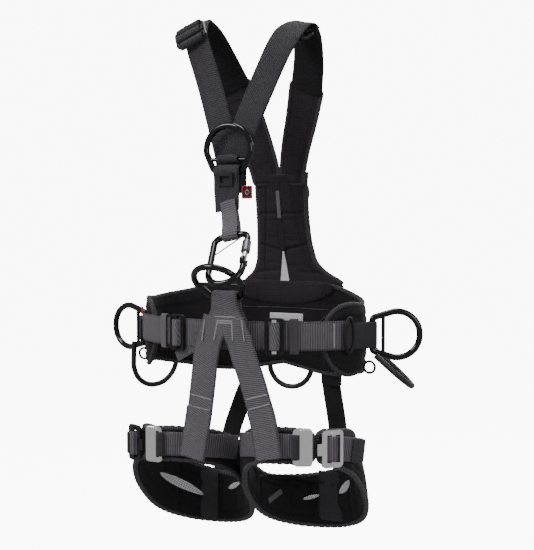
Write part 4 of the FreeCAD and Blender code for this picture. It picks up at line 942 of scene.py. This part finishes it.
REAR_RISERS = {
    "left": [(88.5, 113, -80), (90, 113.5, -98), (95, 117, -135), (102, 117, -185), (110, 119.5, -262)],
    "right": [(-64, 120, -80), (-69, 120, -98), (-84, 117, -135), (-104, 117, -190), (-128, 119.5, -274)],
}
for word in ("left", "right"):
    path = curve(REAR_RISERS[word], 120)
    webbing(f"rear_riser_tape_{word}", path, np.cross(tangents(path), [0, 1.0, 0]), 34, 2.2, ROOT, black_tape,
            replaces=[f"rear_riser_{word}"], ripple=0.4)

# ---------- sewing, folds through the buckles, mesh windows

def between(start, end, count=40):
    """Straight line of points in metres between two points in mm."""
    return (np.array([start], float) + np.linspace(0, 1, count)[:, None]
            * (np.array(end, float) - start)) * MM


def buckle_frame(node):
    """Middle, thin direction and remaining two directions of a plate node, from the spread of its own
    points."""
    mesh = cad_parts[node].data
    points = np.empty(len(mesh.vertices) * 3)
    mesh.vertices.foreach_get("co", points)
    points = points.reshape(-1, 3)
    middle = (points.min(0) + points.max(0)) / 2
    _, _, rows = np.linalg.svd(points - points.mean(0), full_matrices=False)
    upright, _, thin = rows
    upright = upright * np.sign(upright[2])
    thin = thin * np.sign(np.dot(thin, [middle[0], middle[1] - 0.02, 0.0]))
    return middle, upright, np.cross(upright, thin), thin


def over_bar(name, node, body, width, mat, reach=7.5, rise=3.4):
    """Webbing folded over a slide bar: up one side, over it in a half round and down the other, riding on the
    bar."""
    middle, upright, level, thin = buckle_frame(node)
    turn = np.linspace(-1.25, 1.25, 40) * math.pi / 2
    path = (middle + level * (np.sin(turn) * 5.4 * MM)[:, None] + thin
            * ((np.cos(turn) * rise + 0.4) * MM)[:, None])
    legs = [middle + level * (sign * reach * MM) - thin * (3.2 * MM) for sign in (-1, 1)]
    path = resample(np.vstack([legs[0], path, legs[1]]), 60)
    return webbing(name, path, upright, width, 1.8, body, mat)


for word in ("left", "right"):
    over_bar(f"belt_adjuster_fold_{word}", f"belt_slide_bar_{word}", f"belt_slide_bar_{word}", 43, riser_grey)
    over_bar(f"leg_buckle_fold_{word}", f"leg_slide_bar_{word}", f"leg_slide_bar_{word}", 38, belt_grey)
    over_bar(f"shoulder_adjuster_fold_{word}", f"shoulder_slide_bar_{word}", f"shoulder_slide_bar_{word}", 44,
             shoulder_grey)

for word, sign in (("right", 1), ("left", -1)):
    middle, upright, level, thin = buckle_frame(f"shoulder_adjuster_{word}")
    for k, shift in enumerate((-12.8, 12.8)):
        turn = np.linspace(-2.4, 2.4, 50)
        path = (middle + level * ((shift + 5.6 * np.sin(turn)) * MM)[:, None]
                + thin * (5.2 * np.cos(turn) * MM)[:, None])
        webbing(f"shoulder_adjuster_roll_{word}_{k}", path, upright, 45, 2.0, ROOT, shoulder_grey)
    middle, upright, level, thin = buckle_frame(f"leg_hook_plate_{word}")
    outwards = level * np.sign(level[0]) * -sign
    path = between((0, 0, -27.5), (0, 0, 27.5), 40)[:, 2:] * upright + middle + outwards * (4.5
                                                                                            *
            MM) + thin * (2.6 * MM)
    ends = 1 - 0.12 * np.abs(np.linspace(-1, 1, 40)) ** 8
    webbing(f"leg_hook_cover_{word}", path, outwards, 20, 2.6, ROOT, satin_steel, slot="satin_steel",
            taper=ends)
    turn = np.linspace(-2.2, 2.2, 50)
    path = middle + outwards * ((5.6 * np.sin(turn) - 11.0) * MM)[:, None] + thin * (5.0 * np.cos(turn)
                                                                                     * MM)[:, None]
    webbing(f"leg_hook_roll_{word}", path, upright, 38, 2.0, ROOT, shoulder_grey)

# Bar tacks: pairs that run down the tops of the risers, and short ones across them above the sewn ends.
for word, lines in (("left", (((35, 33), (36, 0)), ((52, 34), (56, 1)))),
                    ("right", (((-12, 32), (-18, -2)), ((11, 33), (3, -1))))):
    for k, ((x0, z0), (x1, z1)) in enumerate(lines):
        tack(f"riser_side_tack_{word}_{k}", ((x0 + x1) / 2, -134.6, (z0 + z1) / 2), (x1 - x0, 1.5, z1 - z0),
             FRONT,
             math.hypot(x1 - x0, z1 - z0), 2.4, ROOT, lift=1.4)
for word, heights in (("left", (-84, -99)), ("right", (-90, -108))):
    path = curve(risers[word], 400)
    for k, height in enumerate(heights):
        near = int(np.argmin(np.abs(path[:, 2] / MM - height)))
        run = path[near + 1] - path[near]
        tack(f"riser_cross_tack_{word}_{k}", path[near] / MM, np.cross(run, FRONT), FRONT, 38, 2.6, ROOT,
             lift=2.0)
        end = int(np.argmin(np.abs(path[:, 2] / MM - (height - 66))))
        edge = np.cross(unit(path[end] - path[end - 1]), FRONT)
        for sign in (-1, 1):
            stitches(f"riser_end_stitches_{word}_{k}_{sign + 1}", path[near:end] + edge
                     * (sign * (18.5 - 4 * k) * MM)
                     + FRONT * 3.4 * MM, FRONT, 0.0003, ROOT, stitch_thread, breadth=0.0005)
for k, x in enumerate((16.0, 24.0, 32.0)):
    stitches(f"belt_ring_stitches_{k}", between((x, -137.2, 43), (x, -139.6, 60)), FRONT, 0.0003, ROOT,
             stitch_thread,
             breadth=0.0005)
for k, (angle_at, tall) in enumerate(((61.0, 38.0), (-69.0, 38.0), (-73.0, 38.0))):
    at, out = waist(np.array([angle_at]), 4.2, BELT_RISE)
    tack(f"belt_end_tack_{k}", at[0] / MM, UP, out[0], tall, 2.4, ROOT)
for k, (x, z, length) in enumerate(((1.0, 229.0, 37.0), (3.0, 211.0, 38.0), (4.5, 201.0, 34.0))):
    tack(f"sternal_tack_{k}", (x, -91.2 - (229 - z) * 0.14, z), ACROSS, FRONT, length, 1.8, ROOT,
         mat=shoulder_grey)

# Small oval guide on the belt, next to the wearer's left side ring, and the loose ends of webbing.
at, out = waist(np.array([71.0]), 3.6, BELT_RISE)
along = np.cross(UP, out[0])
turn = np.linspace(0, 2 * math.pi, 90, endpoint=False)
oval = at + along * (np.cos(turn) * 8.5 * MM)[:, None] + UP * (np.sin(turn) * 26.5 * MM)[:, None] + out * (3.6
                                                                                                           *
                                                                                                           MM)
tube("belt_oval_guide", oval, 2.6 + 0 * turn, ROOT, powder_black, closed=True, sides=14,
     across=out[0])
tail_run, tail_out = waist(np.linspace(-23, -9, 30), 2.0, np.linspace(-31, -8, 30))
webbing("belt_loose_tail", tail_run, np.cross(tangents(tail_run), tail_out), 17, 2.2, ROOT, belt_grey)
for word, side in (("left", 1), ("right", -1)):
    tail_run, _ = thigh(side, np.linspace(56, 71.5, 30), 5.6, leg_band_height(np.linspace(56, 71.5, 30)))
    webbing(f"leg_loose_tail_{word}", tail_run, UP, 36, 2.2, ROOT, shoulder_grey)
red, _ = waist(np.linspace(-64, -59, 12), 5.2, 35.5)
webbing("belt_end_red_tab", red, UP, 11, 1.6, ROOT, red_edge, slot="red_tab")
rim = np.array([(27, -86.2, 218), (43, -86.2, 218), (43, -86.2, 236), (27, -86.2, 236), (27, -86.2, 218)],
               float)
rim = resample(rim * MM, 81)[:-1]
tube("marker_tab_border", rim, 1.3 + 0 * rim[:, 0], ROOT, red_edge, closed=True, sides=8,
     across=FRONT)
mark = np.array([(35, -85.6, 231), (39, -85.6, 227), (35, -85.6, 223), (31, -85.6, 227), (35, -85.6, 231)],
                float)
mark = resample(mark * MM, 61)[:-1]
tube("marker_tab_mark", mark, 0.8 + 0 * mark[:, 0], ROOT, tack_thread, closed=True, sides=8,
     across=FRONT)


def leg_inside(side, degrees, height, proud=1.3):
    """Points and directions on the inner face of a leg pad, proud of it by a little, towards the thigh."""
    degrees = np.asarray(degrees, float)
    turned = degrees % 360
    low, high = stations(LEG_BOTTOM, turned), stations(LEG_TOP, turned)
    share = (height - low) / (high - low)
    lean = np.where(turned < 180, LEG_FLARE * np.sin(np.radians(turned)) ** 2, 0.0) * share
    round_off = 2.5 * (1 - (2 * share - 1) ** 2)
    at, out = thigh(side, degrees, -10.5 - round_off - lean - proud, height)
    return at, -out


for name, side, degrees, height, width, mat in (
        ("mesh_long_right", -1, (112, 168), (-239, -287), 15, white_mesh),
        ("mesh_short_right", -1, (200, 218), (-273, -259), 9, white_mesh),
        ("mesh_inner_left", 1, (182, 200), (-280, -287), 7, white_mesh),
        ("mesh_outer_left", 1, (135, 156), (-246, -272), 13, white_mesh),
        ("label_left", 1, (224, 240), (-270, -283), 10, keeper_elastic),
        ("seam_right", -1, (100, 170), (-203, -232), 5, black_tape),
        ("seam_left", 1, (165, 260), (-262, -235), 5, black_tape)):
    angles = np.linspace(degrees[0], degrees[1], 60)
    at, face = leg_inside(side, angles, np.linspace(height[0], height[1], 60))
    pointed = np.sqrt(np.clip(np.sin(np.linspace(0, math.pi, 60)), 0.04, 1)) if "mesh" in name else None
    webbing(f"leg_pad_{name}", at, np.cross(tangents(at), face), width, 1.4, ROOT, mat, slot="padding",
            taper=pointed)
for name, side, degrees, top_edge, foot_edge, width in (("right", -1, 175, -243, -331, 32),
                                                        ("left", 1, 168, -239, -322, 48)):
    heights = np.linspace(top_edge, foot_edge, 90)
    at, face = leg_inside(side, np.full(90, float(degrees)), heights)
    webbing(f"leg_pad_panel_{name}", at, np.cross(tangents(at), face), width, 2.4, ROOT, shoulder_grey,
            slot="padding", ripple=0.5, ripple_step=0.03)

panel_front = -7.4
for name, start, end, width, mat, pointed in (
        ("grey_strip", (-3, 0, 232), (-3, 0, 186), 7, keeper_elastic, None),
        ("mesh_window", (1, 0, 130), (6, 0, 68), 20, white_mesh, (0.15, 1.0)),
        ("spine_tape_high", (-1, 0, 250), (-2, 0, 234), 9, black_tape, None),
        ("spine_tape_low", (-2, 0, 184), (0, 0, 132), 9, black_tape, None)):
    path = between(start, end, 60)
    path[:, 1] = (stations([(row[0], row[3]) for row in PANEL], path[:, 2] / MM) + panel_front) * MM
    taper = None if pointed is None else np.linspace(pointed[0], pointed[1], 60)
    webbing(f"back_panel_{name}", path, ACROSS, width, 1.4, ROOT, mat, slot="padding", taper=taper)
path, out = waist(np.linspace(167, 187, 50), -14.6, 18.0)
webbing("waist_pad_mesh_window", path, UP, 13, 1.6, ROOT, white_mesh, slot="padding")
for k, (start, end, low, high) in enumerate(((150, 205, 34, 34), (150, 205, 6, 6), (140, 158, 44, 10))):
    path, out = waist(np.linspace(start, end, 90), -13.9, np.linspace(low, high, 90))
    stitches(f"waist_pad_stitches_{k}", path, -out, 0.0004, ROOT, stitch_thread, breadth=0.0004)

# ------------------------------------------------------------------ hardware that keeps its CAD shape
finishes = {
    "belt_adjuster_right": powder_black, "belt_adjuster_left": powder_black,
    "belt_slide_bar_right": powder_black, "belt_slide_bar_left": bright_bar,
    "sternal_ring": forged_black, "ventral_ring": forged_black, "dorsal_ring": forged_black,
    "side_ring_left": forged_black, "side_ring_right": forged_black, "connector_body": forged_black,
    "gate_hinge_pin": plated_wire, "connector_gate": bright_bar, "gate_screw_sleeve": sleeve_grey,
    "captive_bar": plated_wire, "sternal_keeper": moulded_black,
    "shoulder_adjuster_left": powder_black, "shoulder_adjuster_right": powder_black,
    "shoulder_slide_bar_left": powder_black, "shoulder_slide_bar_right": powder_black,
    "leg_hook_plate_left": satin_steel, "leg_hook_plate_right": satin_steel,
    "leg_tongue_frame_left": satin_steel, "leg_tongue_frame_right": powder_black,
    "leg_slide_bar_left": bright_bar, "leg_slide_bar_right": powder_black,
    "rear_riser_buckles": powder_black, "accessory_ring_left": moulded_black,
    "accessory_ring_right": moulded_black,
    "gear_loop_left": moulded_black, "gear_loop_right": moulded_black, "gear_loop_rear": moulded_black,
}
for node, mat in finishes.items():
    for slot_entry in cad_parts[node].material_slots:
        slot_entry.material = mat

def backdrop(name, corners):
    """Flat white sheet behind or below the object, seen directly but left out of its reflections."""
    mesh = bpy.data.meshes.new(name)
    mesh.from_pydata(corners, [], [(0, 1, 2, 3)])
    mesh.materials.append(floor_white)
    obj = bpy.data.objects.new(name, mesh)
    scene.collection.objects.link(obj)
    obj.visible_diffuse = False
    obj.visible_glossy = False
    obj.visible_shadow = False


REACH = 14.0
backdrop("floor", [(-REACH, -REACH, FLOOR_Z), (REACH, -REACH, FLOOR_Z), (REACH, REACH, FLOOR_Z),
                   (-REACH, REACH, FLOOR_Z)])
turn = np.radians(np.arange(4) * 90.0 + 45.0)
for k in range(4):
    low = [(1.4 * REACH * math.cos(a), 1.4 * REACH * math.sin(a), FLOOR_Z - 1)
           for a in (turn[k], turn[(k + 1) % 4])]
    high = [(x, y, FLOOR_Z + REACH) for x, y, _ in low[::-1]]
    backdrop(f"backdrop_{k}", low + high)
